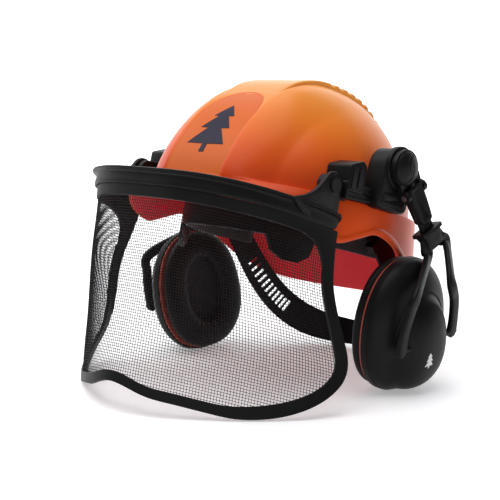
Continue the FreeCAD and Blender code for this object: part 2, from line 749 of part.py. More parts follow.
def cup_room(tilt):
    """The cup's outer body, a little larger, tilted about its pivots."""
    room = cup_body(-YOKE_GAP)
    room.rotate(Vector(YOKE_OUT, 0, -YOKE_PIVOT_DROP), Vector(0, 1, 0), tilt)
    return cup_placed(room)


def make_yoke_pivots():
    """Two short pivots in the yoke that the cup nods on."""
    solids = []
    for side in (-1, 1):
        start = (YOKE_OUT, side * PIVOT_START, -YOKE_PIVOT_DROP)
        reach = YOKE_REACH + LEG_WIDTH / 2 - PIVOT_START
        solids.append(cup_placed(cylinder(start, (0, side, 0), 2.45, reach)))
    return Part.makeCompound(solids)


def egg_section(x, half_width, half_height, drop=0.0, count=24):
    """Closed outline of the cup: an upright superellipse, slightly wider below."""
    points = []
    for i in range(count):
        s, c = power_circle(2 * pi * i / count, CUP_POWER)
        points.append(Vector(x, half_width * c * (1 - CUP_EGG * s), half_height * s - drop))
    return smooth_wire(points)


def bowl(half_width, half_height, depth, inset, start, rim_share, drop):
    """Bowl-shaped body that bulges outward from the plane at start."""
    wires = []
    for share in (0, 0.15, 0.35, 0.55, 0.72, 0.85, 0.93, 0.975, 0.995):
        size = (1 - share ** 2.5) ** 0.4 * (1 - (1 - rim_share) * max(0.0, 1 - share / 0.35) ** 2)
        wires.append(egg_section(start + (depth - start - inset) * share, (half_width - inset) * size,
                                 (half_height - inset) * size, drop))
    return Part.makeLoft(wires, True, False)


def cup_body(inset):
    """Bowl with a raised panel on its outer face; the yoke's legs lie beside the panel."""
    shoulder = bowl(CUP_HALF_WIDTH, CUP_HALF_HEIGHT, CUP_DEPTH, inset, 0, CUP_RIM_SHARE, 0)
    panel = bowl(PANEL_HALF_WIDTH, PANEL_HALF_HEIGHT, PANEL_DEPTH, inset, 5, 1, PANEL_DROP)
    return shoulder.fuse(panel)


def make_cup():
    return cup_placed(cup_body(0).cut(cup_body(CUP_WALL))).cut(pivot_hole(2.55))


def flat_ring(x, wall, outer_inset, hole_width, hole_height):
    outer = Part.Face(egg_section(x, CUP_HALF_WIDTH - outer_inset, CUP_HALF_HEIGHT - outer_inset))
    hole = Part.Face(egg_section(x - 1, hole_width, hole_height)).extrude(Vector(wall + 2, 0, 0))
    return outer.extrude(Vector(wall, 0, 0)).cut(hole)


def make_cup_ring():
    return cup_placed(flat_ring(-RING_WALL, RING_WALL, 1.2, 27, 36))


def make_cushion():
    """Ear cushion: a ring with rounded shoulders on the side of the head."""
    wires = []
    for depth, inset in ((0, 3.5), (0.35, 2.0), (0.7, 3.5), (0.9, 6.5), (1, 10)):
        wires.append(egg_section(-RING_WALL - CUSHION_WALL * depth, CUP_HALF_WIDTH - inset,
                                 CUP_HALF_HEIGHT - inset))
    hole = Part.Face(egg_section(-RING_WALL - CUSHION_WALL - 1, 20, 29))
    body = Part.makeLoft(wires, True, False)
    return cup_placed(body.cut(hole.extrude(Vector(CUSHION_WALL + 2, 0, 0))))


def make_cup_foam():
    outline = egg_section(1, CUP_HALF_WIDTH - 10, CUP_HALF_HEIGHT - 10)
    return cup_placed(Part.Face(outline).extrude(Vector(9, 0, 0)))


# ---------------------------------------------------------------- all nodes

SINGLE = {
    "shell": make_shell,
    "headband": make_headband,
    "sweatband": make_sweatband,
    "nape_strap": make_nape_strap,
    "strap_keepers": make_strap_keepers,
    "crown_straps": make_crown_straps,
    "crown_ring": make_crown_ring,
    "harness_clips": make_harness_clips,
    "visor_band": make_visor_band,
    "visor_frame": make_visor_frame,
    "visor_mesh": make_visor_mesh,
    "visor_studs": make_visor_studs,
}
PAIRED = {
    "visor_bracket": make_visor_bracket,
    "visor_pin": make_visor_pin,
    "muff_bracket": make_muff_bracket,
    "arm_carrier": make_carrier,
    "arm_cap": make_cap,
    "swing_pin": lambda: arm_pin(2.5, 26.0),
    "arm_stem": make_stem,
    "yoke": make_yoke,
    "yoke_pivots": make_yoke_pivots,
    "cup_shell": make_cup,
    "cup_ring": make_cup_ring,
    "cushion": make_cushion,
    "cup_foam": make_cup_foam,
}


def export(name, shape):
    placed = stand(shape)
    placed.exportStep("parts/" + name + ".step")
    bounds = placed.optimalBoundingBox(False, False)
    print("%-20s solids %d valid %s volume %8.0f  x %6.1f %6.1f y %6.1f %6.1f z %6.1f %6.1f" % (
        name, len(placed.Solids), placed.isValid(), placed.Volume, bounds.XMin, bounds.XMax,
        bounds.YMin, bounds.YMax, bounds.ZMin, bounds.ZMax))
    return bounds


os.makedirs("parts", exist_ok=True)
whole = FreeCAD.BoundBox()
for name, make in SINGLE.items():
    whole.add(export(name, make()))
for name, make in PAIRED.items():
    left = make()
    whole.add(export(name + "_left", left))
    whole.add(export(name + "_right", mirrored(left)))
print("whole", whole)
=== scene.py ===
from math import asin, cos, exp, pi, radians, sin

import bmesh
import bpy
import numpy as np
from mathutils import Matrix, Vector


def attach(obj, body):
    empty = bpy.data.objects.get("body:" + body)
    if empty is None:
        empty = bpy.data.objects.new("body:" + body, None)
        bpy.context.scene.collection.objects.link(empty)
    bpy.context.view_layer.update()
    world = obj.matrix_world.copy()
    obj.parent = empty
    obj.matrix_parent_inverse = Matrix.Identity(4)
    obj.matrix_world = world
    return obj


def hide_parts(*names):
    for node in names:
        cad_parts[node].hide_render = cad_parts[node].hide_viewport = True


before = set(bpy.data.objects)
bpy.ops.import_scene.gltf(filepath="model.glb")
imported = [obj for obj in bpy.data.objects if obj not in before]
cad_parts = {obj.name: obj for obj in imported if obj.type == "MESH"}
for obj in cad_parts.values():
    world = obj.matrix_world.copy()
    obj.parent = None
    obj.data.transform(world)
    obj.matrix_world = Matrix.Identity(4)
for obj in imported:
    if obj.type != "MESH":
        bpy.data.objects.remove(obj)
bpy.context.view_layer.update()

# Sizes are in millimetres and degrees in two frames. The helmet frame has x to the
# wearer's left, y to the rear and z up from the rain ledge. place() carries it to the
# part's frame in metres, in which the helmet is tipped back by PITCH.
PITCH = radians(15.0)
SHIFT = 68.7
LIFT = 137.4

DOME_HEIGHT = 100.0
DOME_HALF_WIDTH = 104.5
DOME_HALF_LENGTH = 111.0
DOME_MIDDLE = -31.0
DOME_RAKE = 7.0
SHELL_WALL = 2.6
BAND_HALF_WIDTH = 31.0
BAND_STRETCH = 0.2
OFF_PAD = 50.0
SKIRT_DEPTH = 62.0
RIM_LINE = [
    (-215, -16), (-165, -21), (-133, -22), (-100, -32), (-80, -35), (-58, -28),
    (-39, -22), (-18, -25), (2, -33), (32, -48), (62, -57), (125, -59),
]

VISOR_TILT = radians(5.65)
VISOR_TOP = -5.0
VISOR_FRONT = -187.0
VISOR_HEIGHT = 168.0
WIRE_PITCH = 2.1
WIRE_RADIUS = 0.24

CUP_CENTRE = (115.0, -18.7, -83.4)
CUP_TILT = radians(5.5)
CUP_LEAN = radians(7.6)
CUP_HALF_WIDTH = 48.0
CUP_HALF_HEIGHT = 54.5
CUP_DEPTH = 24.0
CUP_POWER = 2.2
CUP_EGG = 0.05
PANEL_HALF_WIDTH = 33.0
PANEL_HALF_HEIGHT = 42.0
PANEL_DROP = 10.5
PANEL_FOOT = 5.0
PANEL_DEPTH = 37.5
YOKE_OUT = 28.5
PANEL_BLEND = 0.9
RING_WALL = 2.2
CUSHION_WALL = 11.0
ARM_SLOPE = radians(38.0)
ARM_LEAN = radians(8.0)
MUFF_PIVOT = (120.0, -33.0, 33.0)
SWING_CENTRE = np.array([125.0, -33.0 + 20.0 * sin(ARM_SLOPE), 33.0 - 20.0 * cos(ARM_SLOPE)])
PIVOT_Y = -98.0
PIVOT_Z = 6.0
ARM_INNER = 104.6
ARM_OUTER = 109.0
SIDES = (("left", 1), ("right", -1))

# Looks: share that the roughness wanders, depth below the ledge from which the shell's colour is
# graded as painted shade and highlight, and the backdrop's glow by distance in metres.
UNEVEN = 0.08
SKIRT_SHADE_DEPTH = 60
GLOW_START = 0.3
GLOW_END = 1.8
GLOW_NEAR = 0.4
GLOW_FAR = 1.22
VIEW_TURN = radians(43.3)
VIEW_PITCH = radians(8.05)


# ---- places

def place(points):
    """Helmet frame in millimetres to the part's frame in metres."""
    x, y, z = np.moveaxis(np.asarray(points, float), -1, 0)
    back = y * cos(PITCH) + z * sin(PITCH) + SHIFT
    up = z * cos(PITCH) - y * sin(PITCH) + LIFT
    return np.stack([x, back, up], -1) / 1000


def turned(points, lean, tilt):
    """Turn points by lean about y and then by tilt about x."""
    x, y, z = np.moveaxis(np.asarray(points, float), -1, 0)
    x, z = x * cos(lean) + z * sin(lean), z * cos(lean) - x * sin(lean)
    return np.stack([x, y * cos(tilt) - z * sin(tilt), y * sin(tilt) + z * cos(tilt)], -1)


def arm_point(points):
    """Arm frame (origin at the swing pin, -z down the arm) to the helmet frame, left side."""
    return turned(points, -ARM_LEAN, ARM_SLOPE) + SWING_CENTRE


def cup_point(points):
    """Cup frame to the helmet frame, left side."""
    return turned(turned(points, CUP_LEAN, CUP_TILT) + CUP_CENTRE, 0, PITCH)


def mirrored(points, side):
    return np.asarray(points) * np.array([side, 1, 1])


def place_cup(points, side):
    """Cup frame (x outward, z up its long axis) to the part's frame, on the given side."""
    left = turned(points, CUP_LEAN, CUP_TILT) + CUP_CENTRE + np.array([0, SHIFT, LIFT])
    return mirrored(left, side) / 1000


def unit(vectors):
    return vectors / np.linalg.norm(vectors, axis=-1, keepdims=True)


def tangents(line):
    return unit(np.gradient(line, axis=0))


def ease(share):
    """Smooth step from 0 to 1."""
    share = np.clip(share, 0, 1)
    return share * share * (3 - 2 * share)


def power_turn(turn, power):
    """Sine and cosine of a superellipse."""
    s, c = np.sin(turn), np.cos(turn)
    return np.sign(s) * np.abs(s) ** (2 / power), np.sign(c) * np.abs(c) ** (2 / power)


def curve_through(points, at):
    """Smooth curve y(x) through the points, by cubic pieces."""
    x, y = np.array(points, float).T
    slope = np.gradient(y, x)
    at = np.clip(at, x[0], x[-1])
    i = np.clip(np.searchsorted(x, at) - 1, 0, len(x) - 2)
    width = x[i + 1] - x[i]
    t = (at - x[i]) / width
    rise = y[i] * (1 + 2 * t) * (1 - t) ** 2 + y[i + 1] * t * t * (3 - 2 * t)
    return rise + width * (slope[i] * t * (1 - t) ** 2 - slope[i + 1] * t * t * (1 - t))


# ---- meshes

def grid_faces(rows, cols, wrap_rows=False, wrap_cols=False):
    """Faces over a grid of points, which may close on itself either way."""
    r = np.arange(rows if wrap_rows else rows - 1)
    c = np.arange(cols if wrap_cols else cols - 1)
    r, c = np.meshgrid(r, c, indexing="ij")
    r1, c1 = (r + 1) % rows, (c + 1) % cols
    quads = np.stack([r * cols + c, r * cols + c1, r1 * cols + c1, r1 * cols + c], -1)
    return quads.reshape(-1, 4).tolist()


def capped_faces(rows, cols):
    """Faces of a closed tube of rings, with one face over each end."""
    last = (rows - 1) * cols
    return grid_faces(rows, cols, wrap_cols=True) + [list(range(cols)), list(range(last, last + cols))]


def in_scene(name, data):
    made = bpy.data.objects.new(name, data)
    bpy.context.scene.collection.objects.link(made)
    return made


def piece(name, vertices, faces, look, body, slot, sharp=40, attributes=None):
    """Mesh object from vertices in metres, joined where they meet, facing outward."""
    mesh = bpy.data.meshes.new(name)
    mesh.from_pydata(np.asarray(vertices).reshape(-1, 3).tolist(), [], faces)
    for key, values in (attributes or {}).items():
        layer = mesh.attributes.new(key, "FLOAT", "POINT")
        layer.data.foreach_set("value", np.asarray(values, np.float32).ravel())
    work = bmesh.new()
    work.from_mesh(mesh)
    bmesh.ops.remove_doubles(work, verts=work.verts, dist=2e-6)
    bmesh.ops.dissolve_degenerate(work, edges=work.edges, dist=1e-7)
    bmesh.ops.recalc_face_normals(work, faces=work.faces)
    work.to_mesh(mesh)
    work.free()
    mesh.shade_smooth()
    mesh.set_sharp_from_angle(angle=radians(sharp))
    mesh.materials.append(look)
    made = in_scene(name, mesh)
    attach(made, body)
    return made


def grid_piece(name, points, look, body, slot, wrap_rows=False, wrap_cols=False, **more):
    faces = grid_faces(*points.shape[:2], wrap_rows, wrap_cols)
    return piece(name, points, faces, look, body, slot, **more)


def joined(parts):
    """One set of vertices and faces from several."""
    vertices, faces, count = [], [], 0
    for points, quads in parts:
        points = np.asarray(points).reshape(-1, 3)
        vertices.append(points)
        faces += [[v + count for v in quad] for quad in quads]
        count += len(points)
    return np.concatenate(vertices), faces


def black_piece(name, parts, side, looks, body):
    """Black moulding made of several bodies, modelled on the left and mirrored to the side."""
    vertices, faces = joined(parts)
    points = place(mirrored(vertices, side))
    return piece(name, points, faces, looks["black"], body, "black_plastic", sharp=42)


def rounded(corners, radius, steps=5):
    """Closed outline with its corners rounded, in anticlockwise order."""
    p = np.array(corners, float)
    area = np.sum(p[:, 0] * np.roll(p[:, 1], -1) - np.roll(p[:, 0], -1) * p[:, 1])
    p = p if area > 0 else p[::-1]
    points = []
    for before, here, after in zip(np.roll(p, 1, 0), p, np.roll(p, -1, 0)):
        one, two = before - here, after - here
        one *= min(radius, 0.48 * np.linalg.norm(one)) / np.linalg.norm(one)
        two *= min(radius, 0.48 * np.linalg.norm(two)) / np.linalg.norm(two)
        for t in np.linspace(0, 1, steps):
            points.append(here + one * (1 - t) ** 2 + two * t ** 2)
    return np.array(points)


def circle(centre, radius, start=0.0, stop=360.0, count=48):
    """Points of an arc, from start to stop in degrees."""
    turn = np.radians(np.linspace(start, stop, count, endpoint=stop - start < 360))
    return np.array(centre) + radius * np.stack([np.cos(turn), np.sin(turn)], -1)


def round_levels(low, high, radius, steps=3):
    """(inset, height) levels of a body with rounded edges."""
    levels = []
    for i in range(steps + 1):
        a = pi / 2 * i / steps
        levels.append((radius * (1 - sin(a)), low + radius * (1 - cos(a))))
    return levels + [(inset, high + low - height) for inset, height in reversed(levels)]


def slab(outline, levels):
    """Closed body over an outline, as points (height, u, v): one ring for each (inset, height)."""
    tangent = np.roll(outline, -1, 0) - np.roll(outline, 1, 0)
    inward = np.stack([-tangent[:, 1], tangent[:, 0]], -1)
    inward /= np.linalg.norm(inward, axis=1)[:, None] + 1e-9
    count = len(outline)
    rows = [np.column_stack([np.full(count, float(h)), outline + inward * inset]) for inset, h in levels]
    return np.array(rows), capped_faces(len(levels), count)


def spline(points, count):
    """Smooth open line through the points, evenly read."""
    p = np.array(points, float)
    p = np.concatenate([[2 * p[0] - p[1]], p, [2 * p[-1] - p[-2]]])
    at = np.linspace(0, len(p) - 3 - 1e-9, count)
    i = at.astype(int)
    t = (at - i)[:, None]
    a, b, c, d = p[i], p[i + 1], p[i + 2], p[i + 3]
    bend = (2 * a - 5 * b + 4 * c - d) * t ** 2 + (3 * b - a - 3 * c + d) * t ** 3
    return 0.5 * (2 * b + (c - a) * t + bend)


def tubes(paths, radius, sides=4):
    """Vertices and faces of round wires along paths in millimetres."""
    parts = []
    turn = 2 * pi * np.arange(sides) / sides
    for path in paths:
        along = tangents(path)
        across = unit(np.cross(along, (0.13, 0.21, 0.97)))
        up = np.cross(across, along)
        ring = across[:, None] * np.cos(turn)[:, None] + up[:, None] * np.sin(turn)[:, None]
        parts.append((path[:, None] + radius * ring, grid_faces(len(path), sides, wrap_cols=True)))
    return joined(parts)


# ---- finishes

def add_node(made, kind, values):
    """New node of a material, with values for its inputs."""
    node = made.node_tree.nodes.new(kind)
    for socket, value in values.items():
        node.inputs[socket].default_value = value
    return node


def texture(made, kind, where, values):
    """Texture node that is read at the points where."""
    node = add_node(made, kind, values)
    made.node_tree.links.new(where, node.inputs["Vector"])
    return node


def map_range(made, source, low, high, to_low=0.0, to_high=1.0):
    """Output that carries source from the range low to high into the range to_low to to_high."""
    limits = {"From Min": low, "From Max": high, "To Min": to_low, "To Max": to_high}
    node = add_node(made, "ShaderNodeMapRange", limits)
    made.node_tree.links.new(source, node.inputs["Value"])
    return node.outputs["Result"]


def colour_ramp(made, source, stops):
    """Colour read from (place, colour) stops."""
    ramp = add_node(made, "ShaderNodeValToRGB", {})
    elements = ramp.color_ramp.elements
    for _ in range(len(stops) - 2):
        elements.new(0.5)
    for element, (at, colour) in zip(elements, stops):
        element.position = at
        element.color = (*colour, 1)
    made.node_tree.links.new(source, ramp.inputs["Fac"])
    return ramp.outputs["Color"]


def mesh_value(made, attribute):
    node = add_node(made, "ShaderNodeAttribute", {})
    node.attribute_name = attribute
    return node.outputs["Fac"]


def mixed_in(made, socket, blend="MIX"):
    """Put a mix before a shader socket that is linked; gives the mix's factor and second input."""
    shader, links = made.node_tree.nodes["Principled BSDF"], made.node_tree.links
    mix = add_node(made, "ShaderNodeMix", {})
    mix.data_type = "RGBA" if socket == "Base Color" else "FLOAT"
    mix.blend_type = blend
    first, second = [s for s in mix.inputs if s.name in ("A", "B") and s.enabled]
    result = [s for s in mix.outputs if s.enabled][0]
    links.new(shader.inputs[socket].links[0].from_socket, first)
    links.new(result, shader.inputs[socket])
    return mix.inputs["Factor"], second


def finish(name, dark, light, rough, grain, height, blotch=0.03, pattern="noise", metallic=0.0,
           sheen=0.0, glow=0.0, specular=0.5):
    """Principled material with uneven colour, uneven roughness and a fine relief, sizes in metres."""
    made = bpy.data.materials.new(name)
    made.use_nodes = True
    shader, links = made.node_tree.nodes["Principled BSDF"], made.node_tree.links
    for socket, value in (("Metallic", metallic), ("Sheen Weight", sheen), ("Emission Strength", glow),
                          ("Emission Color", (*light, 1)), ("Specular IOR Level", specular)):
        shader.inputs[socket].default_value = value
    where = add_node(made, "ShaderNodeTexCoord", {}).outputs["Object"]
    cloud = texture(made, "ShaderNodeTexNoise", where, {"Scale": 1 / blotch, "Detail": 4}).outputs["Fac"]
    links.new(colour_ramp(made, cloud, [(0.3, dark), (0.7, light)]), shader.inputs["Base Color"])
    smooth, dull = rough * (1 - UNEVEN), rough * (1 + UNEVEN)
    links.new(map_range(made, cloud, 0.3, 0.7, smooth, dull), shader.inputs["Roughness"])
    bump = add_node(made, "ShaderNodeBump", {"Strength": 1.0, "Distance": height})
    links.new(relief_height(made, where, pattern, grain), bump.inputs["Height"])
    links.new(bump.outputs["Normal"], shader.inputs["Normal"])
    return made


def relief_height(made, where, pattern, grain):
    """Height output of a relief: noise, leather cells, foam cells, brushed lines or a weave."""
    if pattern == "noise":
        return texture(made, "ShaderNodeTexNoise", where, {"Scale": 1 / grain, "Detail": 2}).outputs["Fac"]
    if pattern in ("leather", "foam"):
        cells = texture(made, "ShaderNodeTexVoronoi", where, {"Scale": 1 / grain})
        cells.feature = "DISTANCE_TO_EDGE" if pattern == "leather" else "SMOOTH_F1"
        return cells.outputs["Distance"]
    if pattern == "brushed":
        stretch = texture(made, "ShaderNodeMapping", where, {"Scale": (1, 0.06, 1)}).outputs["Vector"]
        return texture(made, "ShaderNodeTexNoise", stretch, {"Scale": 1 / grain}).outputs["Fac"]
    both = add_node(made, "ShaderNodeMath", {})
    both.operation = "MAXIMUM"
    for direction, socket in (("X", both.inputs[0]), ("Z", both.inputs[1])):
        wave = texture(made, "ShaderNodeTexWave", where, {"Scale": 0.31 / grain, "Distortion": 0.6})
        wave.bands_direction = direction
        made.node_tree.links.new(wave.outputs["Fac"], socket)
    return both.outputs["Value"]


def graded_with_painted_light(made, low, high, stops):
    """Grade the colour of a finish by the mesh attribute tone, from low to high, to paint light and shade
    into it.
    """
    colour = colour_ramp(made, map_range(made, mesh_value(made, "tone"), low, high), stops)
    factor, second = mixed_in(made, "Base Color", "MULTIPLY")
    factor.default_value = 1.0
    made.node_tree.links.new(colour, second)
    return made


def painted_shade_region(made, attribute, colour, rough):
    """Second colour of a finish where the mesh attribute is negative: painted shade, darker than the rest,
    as on the flat forehead pad.
    """
    share = map_range(made, mesh_value(made, attribute), 0.25, -0.25)
    for socket, value in (("Base Color", (*colour, 1)), ("Roughness", rough)):
        factor, second = mixed_in(made, socket)
        second.default_value = value
        made.node_tree.links.new(share, factor)
    return made


def glowing_far(made):
    """Backdrop that glows more with the distance in the mesh attribute tone, so it stays white."""
    glow = map_range(made, mesh_value(made, "tone"), GLOW_START, GLOW_END, GLOW_NEAR, GLOW_FAR)
    made.node_tree.links.new(glow, made.node_tree.nodes["Principled BSDF"].inputs["Emission Strength"])
    return made


def make_finishes():
    """Every material by the short name that the makers use."""
    def dark(name, shade, rough, grain, height, **more):
        low = (shade * 0.85, shade * 0.85, shade * 0.88)
        high = (shade * 1.25, shade * 1.25, shade * 1.3)
        return finish(name, low, high, rough, grain, height, specular=0.14, **more)

    return {
        # shell: colour graded by height, a painted shade of deep red on the skirt and a painted golden
        # highlight towards the crown
        "shell": painted_shade_region(
            graded_with_painted_light(finish("shell_gloss", (0.95, 0.92, 0.9), (1, 1, 1), 0.3, 0.0035, 0.00002,
                         blotch=0.05, specular=0.13), -SKIRT_SHADE_DEPTH, DOME_HEIGHT,
                  [(0.0, (0.66, 0.07, 0.01)), (0.34, (0.66, 0.07, 0.01)), (0.4, (0.64, 0.065, 0.011)),
                   (0.55, (0.68, 0.1, 0.012)), (0.75, (0.74, 0.19, 0.022)), (1.0, (0.8, 0.33, 0.07))]),
            # the flat forehead pad is painted a darker orange: painted shade
            "pad_edge", (0.58, 0.105, 0.007), 0.36),
        # inside: deep red, partly own colour and partly painted shade, glowing weakly as painted light
        # through the shell
        "inside": finish("shell_inside", (0.62, 0.012, 0.02), (0.7, 0.018, 0.028), 0.5, 0.002, 0.00003,
                         glow=0.16),
        "black": dark("black_satin", 0.0045, 0.42, 0.0006, 0.00003),
        "strap": dark("strap_satin", 0.0045, 0.36, 0.0008, 0.00002),
        "edging": dark("visor_edging", 0.004, 0.5, 0.0009, 0.00004),
        "wire": dark("wire_black", 0.005, 0.5, 0.0004, 0.00001),
        "cup": dark("cup_texture", 0.0045, 0.45, 0.0007, 0.00005),
        "skin": dark("cushion_skin", 0.006, 0.42, 0.0016, 0.0001, pattern="leather"),
        "foam": dark("open_foam", 0.03, 0.9, 0.0016, 0.0005, pattern="foam"),
        "pad": dark("brow_fabric", 0.02, 0.85, 0.0009, 0.00015, pattern="foam", sheen=0.3),
        "webbing": dark("woven_webbing", 0.016, 0.75, 0.0011, 0.00025, pattern="weave", sheen=0.2),
        "ring": finish("ring_dull", (0.33, 0.05, 0.03), (0.4, 0.065, 0.035), 0.5, 0.0009, 0.00003),
        "steel": finish("pin_steel", (0.16, 0.16, 0.17), (0.22, 0.22, 0.23), 0.4, 0.0008, 0.00001,
                        pattern="brushed", metallic=1.0),
        "navy_print": finish("navy_print", (0.008, 0.006, 0.02), (0.014, 0.01, 0.03), 0.35, 0.001,
                             0.00001, specular=0.1),
        "white_print": finish("white_print", (0.7, 0.7, 0.7), (0.8, 0.8, 0.8), 0.45, 0.001, 0.00001),
        "floor": glowing_far(finish("pale_floor", (0.84, 0.84, 0.85), (0.86, 0.86, 0.87), 0.75, 0.004,
                                    0.00002, blotch=0.4)),
    }


# ---- shell

def dome_share(rise):
    """Share of the ledge's radius left at a share of the dome's height."""
    return np.maximum(0, 1 - rise ** 1.52) ** (1 / 2.22)


def dome_ring(rise, turn, inset=0.0):
    """Points of the dome at a height share, turn 0 at the front and pi at the rear."""
    share = dome_share(rise)
    x = (DOME_HALF_WIDTH - inset) * share * np.sin(turn)
    y = DOME_MIDDLE + DOME_RAKE * rise - (DOME_HALF_LENGTH - inset) * share * np.cos(turn)
    return np.stack([x, y, (DOME_HEIGHT - inset) * rise + 0 * x], -1)


def shoulder(x, y):
    """How far the moulding beside the crown band stands out of the plain dome."""
    off = np.abs(x)
    beyond = np.clip((off - BAND_HALF_WIDTH) / 35, 0, 1)
    fullness = 1 - 0.85 * ease((y + 95) / 75) - 0.15 * ease((y - 45) / 35)
    return fullness * off ** 2 / 193 * (1 - beyond) ** 1.5


def pad_distance(x, y, z):
    """Distance to the outline of the flat pad on the forehead: negative inside, OFF_PAD far away."""
    side = np.abs(x) - (BAND_HALF_WIDTH - 0.5)
    top = z - (78 - 0.0125 * x ** 2)
    corner = np.hypot(np.maximum(side + 12, 0), np.maximum(top + 12, 0)) - 12
    inside = np.maximum(np.minimum(np.maximum(side, top), OFF_PAD), corner)
    return np.where(y < DOME_MIDDLE, inside, OFF_PAD)


def outward(points):
    """Unit normals of a closed grid of points (rows from the crown down, columns around)."""
    around = np.roll(points, -1, 1) - np.roll(points, 1, 1)
    down = np.gradient(points, axis=0)
    normal = np.cross(down, around)
    normal /= np.linalg.norm(normal, axis=2)[..., None] + 1e-12
    return normal


def ledge_outline(turn):
    s, c = power_turn(turn, 2.15)
    return np.stack([108.5 * s, DOME_MIDDLE - 115.0 * c, 0 * s], -1)


def skirt_outline(turn):
    s, c = power_turn(turn, 2.15)
    return np.stack([112.0 * s, -48.0 - 154.0 * c, -SKIRT_DEPTH + 0 * s], -1)


def shell_turns(rise):
    """Column angles of one ring: a column runs along each side of the flat pad."""
    half = DOME_HALF_WIDTH * max(0.05, float(dome_share(np.array(rise))))
    edge = asin(min(BAND_HALF_WIDTH / half, 0.62))
    front = np.linspace(0, edge, 25)[:-1]
    side = np.linspace(edge, pi, 157)
    half_turn = np.concatenate([front, side])
    return np.concatenate([half_turn, -half_turn[-2:0:-1]])


def shell_outer_rows():
    rows = []
    for i in range(76):
        rise = sin(pi / 2 * (1 - i / 75)) ** 1.35
        rows.append(dome_ring(rise, shell_turns(rise)))
    dome = np.array(rows)
    normal = outward(dome)
    normal[0] = (0, 0, 1)
    proud = shoulder(dome[..., 0], dome[..., 1])
    recess = 0.45 * ease(-pad_distance(*np.moveaxis(dome, -1, 0)) / 1.4)
    return dome + normal * (proud - recess)[..., None]


def rim_points(turn):
    """Where each line down the skirt meets the rim, with the line's direction."""
    top, bottom = ledge_outline(turn), skirt_outline(turn)
    low, high = np.zeros(len(turn)), np.ones(len(turn))
    for _ in range(30):
        middle = (low + high) / 2
        point = top + (bottom - top) * middle[:, None]
        above = point[:, 2] > curve_through(RIM_LINE, point[:, 1])
        low, high = np.where(above, middle, low), np.where(above, high, middle)
    return top + (bottom - top) * low[:, None], unit(bottom - top)


def make_shell(looks):
    """One closed moulding: dome, rain ledge, skirt, rolled rim and the inside."""
    turn = shell_turns(0.0)
    dome = shell_outer_rows()
    foot, edge = dome[-1], ledge_outline(turn)
    flat = edge - foot
    flat[:, 2] = 0
    width = np.linalg.norm(flat, axis=1)[:, None]
    flat = flat / width
    down = np.array([0, 0, -1.0])
    rows = list(dome[:-6])
    for out, drop in ((0.06, -1.9), (0.3, -0.9), (0.75, -0.3), (1.5, 0.0)):
        rows.append(foot + flat * out + down * drop)
    for share in (0.45, 0.75):
        rows.append(foot + flat * (1.5 + (width - 3.0) * share))
    pad_stop = len(rows)
    for out, drop in ((1.5, 0.0), (0.8, 0.2), (0.3, 0.65), (0.05, 1.3)):
        rows.append(edge - flat * out + down * drop)
    rim, along = rim_points(turn)
    around = np.roll(rim, -1, 0) - np.roll(rim, 1, 0)
    normal = unit(np.cross(along, around))
    length = np.linalg.norm(rim - edge, axis=1)[:, None]
    for share in (0.12, 0.25, 0.38, 0.5, 0.62, 0.74, 0.85):
        rows.append(edge + along * (1.3 + (length - 9.3) * share))
    for back, out in ((8, 0), (6.4, 0.05), (5.6, 0.45), (5.0, 1.0), (3.8, 1.5), (2.2, 1.6), (0.9, 1.3),
                      (0.15, 0.6), (-0.2, -0.5), (-0.1, -1.4), (0.4, -2.2), (1.2, -2.6), (5, -2.6)):
        rows.append(rim - along * back + normal * out)
    inside_start = len(rows) - 4
    inner_edge = edge - flat * SHELL_WALL + down * SHELL_WALL
    inner_rim = rows[-1]
    for share in (0.3, 0.6, 0.85, 1.0):
        rows.append(inner_rim + (inner_edge - inner_rim) * share)
    inner_foot = dome_ring(0.0, turn, SHELL_WALL)
    rows.append(inner_foot + down * SHELL_WALL)
    for i in range(41):
        rise = sin(pi / 2 * i / 40) ** 1.35
        rows.append(dome_ring(rise, shell_turns(rise), SHELL_WALL))
    points = np.array(rows)
    distance = pad_distance(*np.moveaxis(points, -1, 0))
    distance[pad_stop:] = OFF_PAD
    # tone is the height, which grades the painted shade and highlight; pad_edge places the pad's painted
    # shade.
    made = grid_piece("shell_moulding", place(points), looks["shell"], "helmet", "shell_plastic",
                      wrap_cols=True, sharp=60, attributes={"pad_edge": distance, "tone": points[..., 2]})
    # The inside faces get the inside finish: painted shade and a painted glow of light through the shell.
    made.data.materials.append(looks["inside"])
    inner = place(points[inside_start:]).reshape(-1, 3)
    keys = set(map(tuple, np.round(inner, 5).tolist()))
    for face in made.data.polygons:
        corners = [tuple(np.round(made.data.vertices[v].co, 5).tolist()) for v in face.vertices]
        if all(c in keys for c in corners):
            face.material_index = 1
    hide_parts("shell")


def crown_line(count, start, stop):
    """Centre line of the dome from front to rear, with its normals, as (y, z) rows."""
    turn = np.linspace(start, stop, count)
    rise = np.sin(turn) ** 1.3
    side = np.where(turn < pi / 2, -1, 1)
    y = DOME_MIDDLE + DOME_RAKE * rise + side * DOME_HALF_LENGTH * dome_share(rise)
    line = np.stack([y, DOME_HEIGHT * rise], -1)
    along = tangents(line)
    return line, np.stack([-along[:, 1], along[:, 0]], -1)


